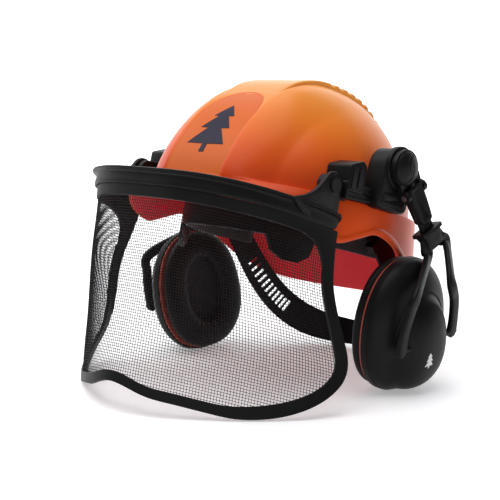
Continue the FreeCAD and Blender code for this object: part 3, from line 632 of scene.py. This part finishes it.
def make_crown_band(looks):
    """Raised band over the crown, with a comb of short grooves along each edge at the rear."""
    line, normal = crown_line(420, 0.30 * pi, 0.80 * pi)
    y = line[:, 0]
    lift = -0.6 + 2.0 * ease((y + 99) / 30) - 4.6 * ease((y - 58) / 14)
    across = np.array([0, 8, 16, 20.5, 21.4, 22.2, 23, 25, 27, 28.6, 29.6, 30.3, 30.8, 31.05, 31.15])
    drop = np.array([0, 0, 0, 0, 0, 0, 0, 0, 0, 0.02, 0.15, 0.45, 0.95, 1.7, 9.0])
    pitch, first = 9.6, -36.0
    phase = ((y - first) / pitch) % 1.0
    inside = (y > first) & (y < first + 10 * pitch)
    groove = np.where(inside, ease((phase - 0.42) / 0.1) * (1 - ease((phase - 0.9) / 0.1)), 0)
    reach = ease((across - 20.8) / 1.6)
    depth = drop[None, :] + 1.5 * groove[:, None] * reach[None, :] * (across < 31.1)[None, :]
    x = np.concatenate([-across[:0:-1], across])
    depth = np.concatenate([depth[:, :0:-1], depth], 1)
    wide = x * (1 + BAND_STRETCH * ease((y + 45) / 50))[:, None]
    out = lift[:, None] - depth - (wide ** 2 - x ** 2) / 190
    points = np.stack([wide, y[:, None] + normal[:, :1] * out, line[:, 1:] + normal[:, 1:] * out], -1)
    under = points[:, [-1, 0]]
    closed = np.concatenate([points, under * [0.98, 1, 1]], 1)
    # The band takes the shell's painted shade and highlight by height, and no pad shade.
    grid_piece("crown_band", place(closed), looks["shell"], "helmet", "shell_plastic", wrap_cols=True,
               sharp=50, attributes={"pad_edge": np.full(closed.shape[:2], OFF_PAD), "tone": closed[..., 2]})


# ---- visor

def half_plan(drop):
    """Run, x and y along half the visor's plan at a drop below its top edge."""
    share = drop / VISOR_HEIGHT
    half_width = 112.0 + 35.0 * ease(share)
    end = -87.0 + 23.0 * ease(2.15 * share - 0.6)
    front = VISOR_FRONT + 17.0 * share
    roundness = 3.0 - 1.3 * share
    flare = 0.77 + 1.4 * exp(-2.55 * share)
    across = np.sin(pi / 2 * np.arange(301) / 300)
    reach = np.maximum(0, 1 - across ** roundness) ** (1 / flare)
    x, y = half_width * across, end - (end - front) * reach
    run = np.concatenate([[0], np.cumsum(np.hypot(np.diff(x), np.diff(y)))])
    return run, x, y


def visor_row(s, drop, out, level=None):
    """Points of the visor at shares s of its half girth, or of the same plan at another level."""
    run, x, y = half_plan(drop)
    level = drop if level is None else level
    at = np.abs(s) * run[-1]
    px, py = np.sign(s) * np.interp(at, run, x), np.interp(at, run, y)
    x0, x1 = (np.sign(t) * np.interp(np.abs(t) * run[-1], run, x) for t in (s - 0.01, s + 0.01))
    y0, y1 = (np.interp(np.abs(t) * run[-1], run, y) for t in (s - 0.01, s + 0.01))
    size = np.hypot(x1 - x0, y1 - y0)
    px, py = px + out * (y1 - y0) / size, py - out * (x1 - x0) / size
    return visor_tilted(np.stack([px, py, VISOR_TOP - level + 0 * px], -1))


def visor_tilted(points):
    y, z = points[..., 1] - VISOR_FRONT, points[..., 2] - VISOR_TOP
    c, s = cos(-VISOR_TILT), sin(-VISOR_TILT)
    return np.stack([points[..., 0], y * c - z * s + VISOR_FRONT, y * s + z * c + VISOR_TOP], -1)


def round_corner(s, start, height, power):
    share = np.maximum(0, (np.minimum(1, np.abs(s)) - start) / (1 - start))
    return height * (1 - np.sqrt(np.maximum(0, 1 - share ** power)))


def window_edges(s):
    """Upper and lower edge of the wire window at s."""
    dip = 6.0 * (0.5 + 0.5 * np.cos(pi * np.minimum(1, np.abs(s) / 0.22)))
    high = 21.5 + round_corner(s, 0.70, 26.0, 4.0)
    low = VISOR_HEIGHT - 8.0 - dip - round_corner(s, 0.50, 55.0, 1.5)
    return high, low


def make_wires(looks):
    """Woven wires of the visor, across and down, held in the edging."""
    reach, middle = 0.945, -1.5
    paths = []
    girth = half_plan(60.0)[0][-1] * reach
    shares = np.linspace(-1, 1, int(2 * girth / WIRE_PITCH))
    fine = np.linspace(0, 1, 27)
    lines = np.arange(22.5, 161, 1.0)
    table = np.linspace(-1, 1, 241)
    sheet = np.array([visor_row(table * reach, drop, middle) for drop in lines])

    def on_sheet(s, drop):
        """Point of the visor's middle surface, read from a fine grid."""
        u = np.clip((np.asarray(s) + 1) / 2 * 240, 0, 239.999)
        v = np.clip(np.asarray(drop) - lines[0], 0, len(lines) - 1.001)
        i, j = v.astype(int), u.astype(int)
        a, b = (v - i)[..., None], (u - j)[..., None]
        top = sheet[i, j] * (1 - b) + sheet[i, j + 1] * b
        return top * (1 - a) + (sheet[i + 1, j] * (1 - b) + sheet[i + 1, j + 1] * b) * a

    for s in shares:
        high, low = window_edges(np.array(s))
        drops = (high - 1.5) + (low - high + 3.0) * fine
        paths.append(on_sheet(np.full(27, s), drops))
    across = np.linspace(-1, 1, 121)
    high, low = window_edges(across)
    for drop in np.arange(22.5, 160.5, WIRE_PITCH):
        inside = (drop > high - 1.5) & (drop < low + 1.5)
        steps = np.flatnonzero(np.diff(np.concatenate([[0], inside.astype(int), [0]])))
        for start, stop in zip(steps[::2], steps[1::2]):
            if stop - start > 2:
                paths.append(on_sheet(across[start:stop], np.full(stop - start, drop)))
    vertices, faces = tubes(paths, WIRE_RADIUS, sides=3)
    made = piece("visor_wires", place(vertices), faces, looks["wire"], "visor", "mesh", sharp=80)
    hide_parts("visor_mesh")


def make_visor_band(looks):
    """Lipped band round the brow with rounded ends and an arm up to each pivot."""
    profile = [(-8.8, 1.0), (-8.6, 0.3), (-8.0, 0.0), (1.8, 0.0), (3.2, 0.1), (4.0, 0.6), (4.2, 1.3),
               (3.9, 2.0), (2.6, 2.5), (1.2, 2.8), (0.5, 3.3), (0.15, 4.2), (0.0, 6.0), (0.0, 9.5),
               (-0.1, 11.8), (-0.6, 12.7), (-1.3, 12.9), (-2.0, 12.6), (-2.4, 11.8), (-2.4, 4.0),
               (-2.8, 2.6), (-3.6, 2.0), (-8.0, 2.0), (-8.6, 1.7)]
    s = np.concatenate([np.linspace(-1, -0.965, 9)[:-1], np.linspace(-0.965, 0.965, 141),
                        np.linspace(0.965, 1, 9)[1:]])
    end = np.sqrt(np.clip(1 - ((np.abs(s) - 0.965) / 0.035).clip(0) ** 2, 0.0004, 1))
    ring = []
    for out, drop in profile:
        out = np.where(out > -1, -1 + (out + 1) * end, np.maximum(out, -1 + (out + 1) * end ** 0.4))
        ring.append(visor_row(s, 0.0, out, 6.5 + (drop - 6.5) * end))
    sweep = np.array(ring)
    parts = [(sweep, grid_faces(*sweep.shape[:2], wrap_rows=True))]
    y, z = PIVOT_Y, PIVOT_Z
    head = circle((y, z), 10.4, 152, -20, 24)
    arm = np.concatenate([[(y - 43, z - 16.5), (y - 36, z - 14.8), (y - 29, z - 12.6), (y - 23, z - 9.8),
                           (y - 17, z - 5.2), (y - 12.5, z + 0.5)], head,
                          [(y + 10, z - 12), (y + 10, z - 25), (y - 10, z - 31), (y - 30, z - 26)]])
    arm = rounded(arm, 3.0, 3)
    raised = rounded(circle((y, z), 8.4), 1.0, 2)
    for outline, levels in ((arm, round_levels(ARM_INNER, ARM_OUTER, 1.1)),
                            (raised, round_levels(ARM_OUTER - 2, ARM_OUTER + 0.3, 0.5))):
        points, faces = slab(outline, levels)
        for _, side in SIDES:
            parts.append((mirrored(points, side), faces))
    made = black_piece("brow_band", parts, 1, looks, "visor")
    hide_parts("visor_band")


# ---- brackets and arms

def make_visor_bracket(looks, name, side):
    """Bracket in the front slot: block, lug behind the arm's head and a grooved bar to the rear."""
    y, z = PIVOT_Y, PIVOT_Z
    block = rounded([(y + 12.5, z - 1.5), (y + 32, z - 1.5), (y + 32, z + 20), (y + 27, z + 24.5),
                     (y + 12.5, z + 19)], 2.2)
    lug = np.concatenate([circle((y, z), 8.5, 90, 270, 20), [(y + 22, z - 8.5), (y + 22, z + 8.5)]])
    bar = rounded([(y + 12, z - 7.5), (-60, -0.5), (-48.8, 1.2), (-48.8, 12.8), (y + 12, 12.8)], 2.0)
    rib = rounded([(y + 15, z + 1), (y + 20, z + 1), (y + 20, z + 18.5), (y + 15, z + 17)], 1.0)
    parts = [slab(block, round_levels(88, 112.6, 1.2)), slab(rib, round_levels(108, 113.4, 0.5)),
             slab(rib + [7.5, 1.5], round_levels(108, 113.4, 0.5)),
             slab(lug, round_levels(ARM_INNER - 6.5, ARM_INNER - 0.4, 0.8)),
             slab(bar, round_levels(103, 111.8, 1.0)[:-1] + [(1.6, 111.8), (2.6, 111.6), (3.0, 110.9)])]
    made = black_piece("visor_mount_" + name, parts, side, looks, "helmet")
    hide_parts("visor_bracket_" + name)


def make_muff_bracket(looks, name, side):
    """Bracket in the side slot: a tapered block with a round boss and a recessed foot."""
    outline = rounded([(-55, -2), (-16, -2), (-14.5, 10), (-17, 36), (-27, 47.5), (-42, 48),
                       (-51.5, 39)], 7.5)
    foot = rounded([(-50, 1.5), (-20, 1.5), (-20, 11), (-50, 11)], 2.5)
    boss = circle(MUFF_PIVOT[1:], 17.2)
    parts = [slab(outline, round_levels(100, 118.4, 2.6, 4)), slab(boss, round_levels(114, 119.7, 1.0)),
             slab(foot, round_levels(114, 119.2, 0.8)[:-1] + [(2.0, 119.2), (2.6, 118.9)])]
    made = black_piece("muff_mount_" + name, parts, side, looks, "helmet")
    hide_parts("muff_bracket_" + name)


def make_arm_cap(looks, name, side):
    """Domed cap over the turning disc, with two curved moulded lines."""
    x0, y0, z0 = MUFF_PIVOT
    foot, top, dome = x0 + 4.6, x0 + 9.6, 26.0
    turn = np.linspace(0, 2 * pi, 121)[:-1]
    rows = []
    for radius in np.concatenate([np.linspace(0, 12.6, 43), [13.0, 13.35, 13.5, 13.5]]):
        y, z = radius * np.cos(turn), radius * np.sin(turn)
        x = top - (dome - np.sqrt(dome ** 2 - radius ** 2)) + 0 * turn
        for centre in (5.6, -5.6):
            line = np.hypot(y - centre, z - 0.6 * centre) - 9.0
            inside = np.hypot(y, z) < 12.2
            x = x - 0.75 * np.exp(-(line / 0.5) ** 2) * inside * ease((centre * z + 30) / 20)
        x = x - 0.5 * ease((radius - 12.6) / 0.9)
        rows.append(np.stack([x, y + y0, z + z0], -1))
    rows.append(rows[-1] * [0, 1, 1] + [foot, 0, 0])
    rows.append(rows[-1] * 0 + [foot, y0, z0])
    points = place(mirrored(np.array(rows), side))
    made = grid_piece("pivot_cap_" + name, points, looks["black"], "arm_base_" + name, "black_plastic",
                      wrap_cols=True, sharp=50)
    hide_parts("arm_cap_" + name)


def make_arm(looks, name, side):
    """Stem: a wide head with a long recess, and the flat bar that slides in the collar."""
    head = rounded([(-8.5, 4.5), (8.5, 4.5), (8.6, -8), (7.8, -19), (6.9, -27), (-6.9, -27), (-7.8, -19),
                    (-8.6, -8)], 3.0)
    recess = [(1.9, 4.7), (2.4, 4.4), (3.0, 3.3), (3.8, 3.0)]
    bar = rounded([(-6.5, -49), (6.5, -49), (6.5, -22), (-6.5, -22)], 1.5)
    ridge = rounded([(-3.0, -48), (3.0, -48), (3.0, -28), (-3.0, -28)], 1.0)
    parts = [slab(head, round_levels(-4.4, 4.7, 1.5) + recess), slab(bar, round_levels(-2.4, 2.2, 0.6)),
             slab(ridge, round_levels(0, 2.5, 0.3))]
    parts = [(arm_point(points), faces) for points, faces in parts]
    made = black_piece("stem_" + name, parts, side, looks, "arm_" + name)
    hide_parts("arm_stem_" + name)


def fork_collar():
    """Flanged sleeve round the stem, which swells into the crown of the fork."""
    count = 56
    s, c = power_turn(2 * pi * np.arange(count) / count, 7.0)
    rows = []
    for z, x, y in ((-49.3, 3.2, 8.4), (-49.5, 3.6, 9.0), (-49.1, 4.1, 9.5), (-47.4, 4.6, 10.0),
                    (-45, 5.0, 10.0), (-42, 5.4, 9.8), (-38, 5.6, 10.4), (-36.4, 5.9, 11.0),
                    (-36, 6.8, 12.4), (-35.7, 7.2, 13.0), (-33.4, 7.2, 13.0), (-33.1, 6.9, 12.7),
                    (-33.0, 6.4, 12.0)):
        inner = min(x, 3.3) if z < -41 else x
        rows.append(np.stack([np.where(s < 0, inner, x) * s, y * c, z + 0 * s], -1))
    for z, grow in ((-33.0, 0.6), (-33.6, 0.1), (-45, 0.0), (-48.8, 0.0), (-49.2, 0.1)):
        rows.append(np.stack([(2.85 + grow) * s, (6.85 + grow) * c, z + 0 * s], -1))
    return arm_point(np.array(rows)), grid_faces(len(rows), count, True, True)


def fork_leg(hand):
    """Flat leg from the crown down to the cup's pivot, at the front (-1) or the rear (1)."""
    rings, count = 60, 20
    out = cup_point((1, 0, 0)) - cup_point((0, 0, 0))
    route = [arm_point((0.5, 6.0 * hand, -40)), arm_point((0.8, 9.5 * hand, -46.5)),
             arm_point((1.6, 14.0 * hand, -54)), cup_point((YOKE_OUT + 3.6, 22.5 * hand, 38)),
             cup_point((YOKE_OUT + 3, 29.5 * hand, 22)), cup_point((YOKE_OUT + 1.2, 33.2 * hand, 4)),
             cup_point((YOKE_OUT, 33.0 * hand, -13.5))]
    line = spline(route, rings)
    along = tangents(line)
    across = unit(np.cross(along, out))
    through = np.cross(across, along)
    share = np.linspace(0, 1, rings)
    end = np.sqrt(np.clip(1 - ((share - 0.94) / 0.06).clip(0) ** 2, 0.001, 1))
    half_width = 6.4 - 2.0 * ease(share / 0.56) + 0.5 * np.exp(-((share - 0.93) / 0.05) ** 2)
    half_wall = 2.45 * end ** 0.3
    s, c = power_turn(2 * pi * np.arange(count) / count, 4.5)
    ring = (line[:, None] + across[:, None] * (s * (half_width * end)[:, None])[..., None]
            + through[:, None] * (c * half_wall[:, None])[..., None])
    return ring, capped_faces(rings, count)


def make_fork(looks, name, side):
    """Fork: the collar and two legs down to the cup's pivots."""
    parts = [fork_collar(), fork_leg(-1), fork_leg(1)]
    made = black_piece("fork_arms_" + name, parts, side, looks, "fork_" + name)
    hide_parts("yoke_" + name)


# ---- printed marks

def conifer(count=9):
    """Half widths of a plain conifer from foot to tip, as (height share, half width share)."""
    steps = [(0.0, 0.13), (0.15, 0.13)]
    tiers = ((0.15, 0.47, 1.0, 0.36), (0.47, 0.74, 0.78, 0.26), (0.74, 1.0, 0.54, 0.02))
    for low, high, wide, narrow in tiers:
        for i in range(count):
            share = i / (count - 1)
            steps.append((low + 0.003 + (high - low - 0.006) * share, wide + (narrow - wide) * share))
    return np.array(steps)


def mark(name, surface, look, body, slot, height, width):
    """Thin raised print on a surface(across, up, out), shaped as a plain conifer."""
    rows = []
    for up, half in conifer():
        across = np.linspace(-half, half, 7) * width
        flat = np.full(7, up * height)
        top = surface(across, flat, 0.12)
        under = surface(across[[-1, 0]], flat[:2], -0.5)
        rows.append(np.concatenate([top, under]))
    piece(name, rows, capped_faces(len(rows), len(rows[0])), look, body, slot, sharp=30)


def make_marks(looks):
    """A dark conifer on the forehead pad and a small pale one on each cup."""
    line, normal = crown_line(200, 0.02 * pi, 0.45 * pi)
    run = np.concatenate([[0], np.cumsum(np.linalg.norm(np.diff(line, axis=0), axis=1))])

    def on_pad(across, up, out):
        raised = line + (out - 0.2) * normal
        y, z = (np.interp(up + 17.0, run, raised[:, i]) for i in (0, 1))
        return place(np.stack([across, y, z], -1))

    mark("pad_mark", on_pad, looks["navy_print"], "helmet", "shell_plastic", 52.0, 20.0)
    for name, side in SIDES:
        def on_cup(across, up, out):
            y, z = across - 6.0, up - 27.0
            share = (np.abs(y / PANEL_HALF_WIDTH) ** CUP_POWER
                     + np.abs((z + PANEL_DROP) / PANEL_HALF_HEIGHT) ** CUP_POWER) ** (1 / CUP_POWER)
            height = bowl_height(share, PANEL_FOOT, PANEL_DEPTH)
            return place_cup(np.stack([height + out, y, z], -1), side)

        mark("cup_mark_" + name, on_cup, looks["white_print"], "muff_" + name, "cup_plastic", 13.0, 4.6)


# ---- ear cups

def egg(turn, half_width, half_height, drop=0.0):
    """Outline of the cup: an upright superellipse, slightly wider below, as (y, z)."""
    s, c = power_turn(turn, CUP_POWER)
    return np.stack([half_width * c * (1 - CUP_EGG * s), half_height * s - drop], -1)


def bowl_height(share, foot, depth):
    return foot + (depth - foot) * np.maximum(0, 1 - np.clip(share, 0, 1) ** 2.5) ** 0.4


def cup_share(yz):
    """Size share of the cup's outline that passes through the points."""
    y, z = yz[..., 0], yz[..., 1] / CUP_HALF_HEIGHT
    y = y / (CUP_HALF_WIDTH * (1 - CUP_EGG * z))
    return (np.abs(y) ** CUP_POWER + np.abs(z) ** CUP_POWER) ** (1 / CUP_POWER)


def make_cup(looks, name, side):
    """Cup: a bowl whose shoulder steps up to a crowned panel."""
    turn = np.linspace(0, 2 * pi, 161)[:-1]
    panel = egg(turn, PANEL_HALF_WIDTH, PANEL_HALF_HEIGHT, PANEL_DROP)
    centre = np.array([0, -PANEL_DROP])
    rows = []
    for share in (0, 0.12, 0.25, 0.38, 0.5, 0.6, 0.68, 0.75, 0.8, 0.84, 0.88, 0.91, 0.935, 0.955, 0.972,
                  0.985, 0.994):
        yz = centre + (panel - centre) * share
        height = bowl_height(np.full(len(turn), share), PANEL_FOOT, PANEL_DEPTH)
        floor = bowl_height(cup_share(yz), 0, CUP_DEPTH) + 0.2
        height = floor + PANEL_BLEND * np.logaddexp(0, (height - floor) / PANEL_BLEND)
        rows.append(np.column_stack([height, yz]))
    rim = egg(turn, CUP_HALF_WIDTH, CUP_HALF_HEIGHT)
    for share in (0, 0.025, 0.07, 0.15, 0.28, 0.42, 0.56, 0.68, 0.78, 0.86, 0.92, 0.96, 0.985, 1.0):
        yz = panel * (1 - share) + rim * share
        lift = 0.6 * exp(-share / 0.05)
        rows.append(np.column_stack([bowl_height(cup_share(yz), 0, CUP_DEPTH) + lift, yz]))
    for x, share in ((5, 0.9985), (2.5, 0.988), (0.8, 0.972), (0.15, 0.962), (0.0, 0.93), (0.3, 0.9),
                     (8, 0.88), (10.4, 0.6), (10.4, 0.0)):
        rows.append(np.column_stack([np.full(len(turn), float(x)), rim * share]))
    points = place_cup(np.array(rows), side)
    made = grid_piece("cup_" + name, points, looks["cup"], "muff_" + name, "cup_plastic",
                      wrap_cols=True, sharp=50)
    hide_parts("cup_shell_" + name)


def make_cushion(looks, name, side):
    """Ear cushion: a filled ring, crowned, with a sewn seam outside and soft creases inside."""
    turn = np.linspace(0, 2 * pi, 193)[:-1]
    outer = egg(turn, CUP_HALF_WIDTH - 2.0, CUP_HALF_HEIGHT - 2.0)
    inner = egg(turn, 20.5, 29.5)
    rows = []
    for i in range(40):
        angle = 2 * pi * i / 40
        out, up = power_turn(np.array(angle), 2.5)
        share = 0.5 + 0.5 * up
        thick = 0.5 - 0.5 * out
        crease = 0.35 * np.sin(turn * 23 + 2 * np.sin(turn * 3)) * ease((0.45 - share) / 0.45) * thick
        seam = 0.7 * exp(-((angle - 0.42) / 0.07) ** 2)
        stitch = 0.12 * np.sin(turn * 70) * exp(-((angle - 0.42) / 0.16) ** 2)
        yz = inner + (outer - inner) * share
        yz = yz - unit(outer - inner) * (seam + stitch)[:, None]
        x = -RING_WALL - CUSHION_WALL * thick + crease + 0.25 * np.sin(turn * 5 + 1) * thick
        rows.append(np.column_stack([x, yz]))
    points = place_cup(np.array(rows), side)
    made = grid_piece("ear_cushion_" + name, points, looks["skin"], "muff_" + name, "cushion_skin",
                      wrap_rows=True, wrap_cols=True, sharp=70)
    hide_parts("cushion_" + name)


def make_foam(looks, name, side):
    """Foam liner in the cup: a crowned disc with dimples."""
    turn = np.linspace(0, 2 * pi, 97)[:-1]
    outline = egg(turn, CUP_HALF_WIDTH - 10, CUP_HALF_HEIGHT - 10)
    rows = []
    for share, x in ((0, 2.2), (0.2, 2.1), (0.4, 1.9), (0.6, 1.6), (0.75, 1.3), (0.88, 1.3), (0.95, 1.9),
                     (0.985, 3.2), (1.0, 5.5), (0.985, 8.0), (0.94, 9.6), (0.7, 10), (0.0, 10)):
        dimple = 0.35 * np.cos(turn * 6) * sin(pi * share) if x < 3 else 0
        rows.append(np.column_stack([x + dimple + 0 * turn, outline * share]))
    points = place_cup(np.array(rows), side)
    made = grid_piece("foam_liner_" + name, points, looks["foam"], "muff_" + name, "foam",
                      wrap_cols=True, sharp=70)
    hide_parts("cup_foam_" + name)


# ---- harness

def crown_strap_points(i, count=28):
    """Centre, across and out of one webbing strap, from the ledge to the crown ring."""
    turn = 2 * pi * (i + 0.5) / 6
    sx, sy = sin(turn), -cos(turn)
    rise = np.radians(4 + 68 * np.arange(count) / (count - 1))
    share = np.cos(rise) ** 0.8
    x = 88 * sx * share
    y = -14 + (94 * sy - 14) * share
    z = -6 + 78 * np.sin(rise) / sin(radians(78))
    out = unit(np.stack([sx * np.cos(rise), sy * np.cos(rise), 1.1 * np.sin(rise)], -1))
    return np.stack([x, y, z], -1), np.array([-sy, sx, 0.0]), out


def make_webbing(looks):
    """Six woven straps of the cradle, each with thicker sewn edges."""
    profile = np.array([(-9, 0.35), (-8.7, 0.62), (-7.8, 0.62), (-7.2, 0.5), (0, 0.55), (7.2, 0.5),
                        (7.8, 0.62), (8.7, 0.62), (9, 0.35), (9, -0.35), (8.7, -0.62), (7.8, -0.62),
                        (7.2, -0.5), (0, -0.45), (-7.2, -0.5), (-7.8, -0.62), (-8.7, -0.62), (-9, -0.35)])
    parts = []
    for i in range(6):
        centre, across, out = crown_strap_points(i)
        points = centre[:, None] + (across * profile[:, :1])[None] + out[:, None] * profile[None, :, 1:]
        parts.append((points, grid_faces(len(centre), len(profile), wrap_cols=True)))
    vertices, faces = joined(parts)
    made = piece("crown_webbing", place(vertices), faces, looks["webbing"], "helmet", "webbing", sharp=60)
    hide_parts("crown_straps")


def make_brow_pad(looks):
    """Padded sweatband inside the front of the headband, quilted by upright seams."""
    front, rear, half_width = -113.9, 77.9, 77.9
    middle, half_length = (front + rear) / 2, (rear - front) / 2
    limit = 1.96
    turn = np.linspace(-limit, limit, 181)
    low, high = -36.4, -8.4
    rows = []
    for i in range(28):
        angle = 2 * pi * i / 28
        side, up = power_turn(np.array(angle), 3.2)
        taper = np.sqrt(np.clip((limit - np.abs(turn)) / 0.08, 0.02, 1))
        quilt = 0.55 * np.exp(-(((np.abs(turn) * 4.4 + 0.5) % 1 - 0.5) / 0.07) ** 2)
        inset = 2.0 * (1 - side) * taper - quilt * (side < 0) * (1 - abs(up))
        x = (half_width - inset) * np.sin(turn)
        y = middle - (half_length - inset) * np.cos(turn)
        z = (low + high) / 2 + (high - low) / 2 * up * (0.9 + 0.1 * taper)
        rows.append(np.stack([x, y, z + 0 * x], -1))
    made = grid_piece("brow_pad", place(np.array(rows)), looks["pad"], "helmet", "brow_pad",
                      wrap_rows=True, sharp=70)
    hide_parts("sweatband")


# ---- carried CAD nodes

NODE_FINISH = {
    "headband": "strap", "nape_strap": "strap", "strap_keepers": "black", "crown_ring": "black",
    "harness_clips": "black", "visor_frame": "edging", "visor_studs": "black", "visor_pin": "black",
    "arm_carrier": "black", "swing_pin": "steel", "yoke_pivots": "black", "cup_ring": "ring",
}


def finish_nodes(looks):
    for name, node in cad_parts.items():
        base = name.replace("_left", "").replace("_right", "")
        if base in NODE_FINISH:
            node.data.materials.clear()
            node.data.materials.append(looks[NODE_FINISH[base]])
            node.data.shade_smooth()
            node.data.set_sharp_from_angle(angle=radians(28))


# ---- studio

def make_studio(looks):
    """Pale floor that sweeps up behind, a large soft box above and a soft fill."""
    profile = [(away, 0.0) for away in (-6.0, -1.8, -0.3, 0.0, 0.3, 1.8, 3.0)]
    for i in range(1, 17):
        angle = pi / 2 * i / 16
        profile.append((3.0 + 2.0 * sin(angle), 2.0 - 2.0 * cos(angle)))
    profile.append((5.0, 6.0))
    direction = np.array([-sin(VIEW_TURN), cos(VIEW_TURN)])
    across = np.array([direction[1], -direction[0]])
    points, distance = [], []
    for away, height in profile:
        for wide in (-8.0, -3.0, 3.0, 8.0):
            points.append([*(direction * away + across * wide), height - 0.0004])
            distance.append(abs(away) + height)
    mesh = bpy.data.meshes.new("floor")
    mesh.from_pydata(points, [], grid_faces(len(profile), 4))
    mesh.attributes.new("tone", "FLOAT", "POINT").data.foreach_set("value", np.array(distance, np.float32))
    mesh.shade_smooth()
    mesh.materials.append(looks["floor"])
    in_scene("floor", mesh)
    world = bpy.data.worlds.new("studio")
    bpy.context.scene.world = world
    world.use_nodes = True
    sky = world.node_tree.nodes["Background"]
    sky.inputs["Color"].default_value = (0.95, 0.97, 1.0, 1)
    sky.inputs["Strength"].default_value = 0.2
    soft_box("top_box", (-0.15, -0.3, 1.7), (0, 0.03, 0.1), 2.0, 37)
    soft_box("left_box", (-1.6, -0.5, 1.2), (0, 0, 0.12), 1.2, 7)


def aim(made, at, direction):
    made.location = at
    made.rotation_mode = "QUATERNION"
    made.rotation_quaternion = direction.to_track_quat("-Z", "Y")


def soft_box(name, at, target, size, power):
    data = bpy.data.lights.new(name, "AREA")
    data.shape = "SQUARE"
    data.size = size
    data.energy = power
    aim(in_scene(name, data), at, Vector(target) - Vector(at))


def make_camera():
    back = Vector((sin(VIEW_TURN), -cos(VIEW_TURN), 0))
    right = Vector((cos(VIEW_TURN), sin(VIEW_TURN), 0))
    data = bpy.data.cameras.new("camera")
    data.lens = 92.88
    data.sensor_width = 36.0
    camera = in_scene("camera", data)
    at = back * 1.095 - right * 0.0358 + Vector((0, 0.051, 0.2561))
    aim(camera, at, -back * cos(VIEW_PITCH) - Vector((0, 0, 1)) * sin(VIEW_PITCH))
    bpy.context.scene.camera = camera


def main():
    looks = make_finishes()
    for make in (make_shell, make_crown_band, make_wires, make_visor_band, make_marks):
        make(looks)
    for name, side in SIDES:
        for make in (make_visor_bracket, make_muff_bracket, make_arm_cap, make_arm, make_fork, make_cup,
                     make_cushion, make_foam):
            make(looks, name, side)
    make_webbing(looks)
    make_brow_pad(looks)
    finish_nodes(looks)
    make_studio(looks)
    make_camera()
    bpy.context.scene.view_settings.view_transform = "Standard"


main()
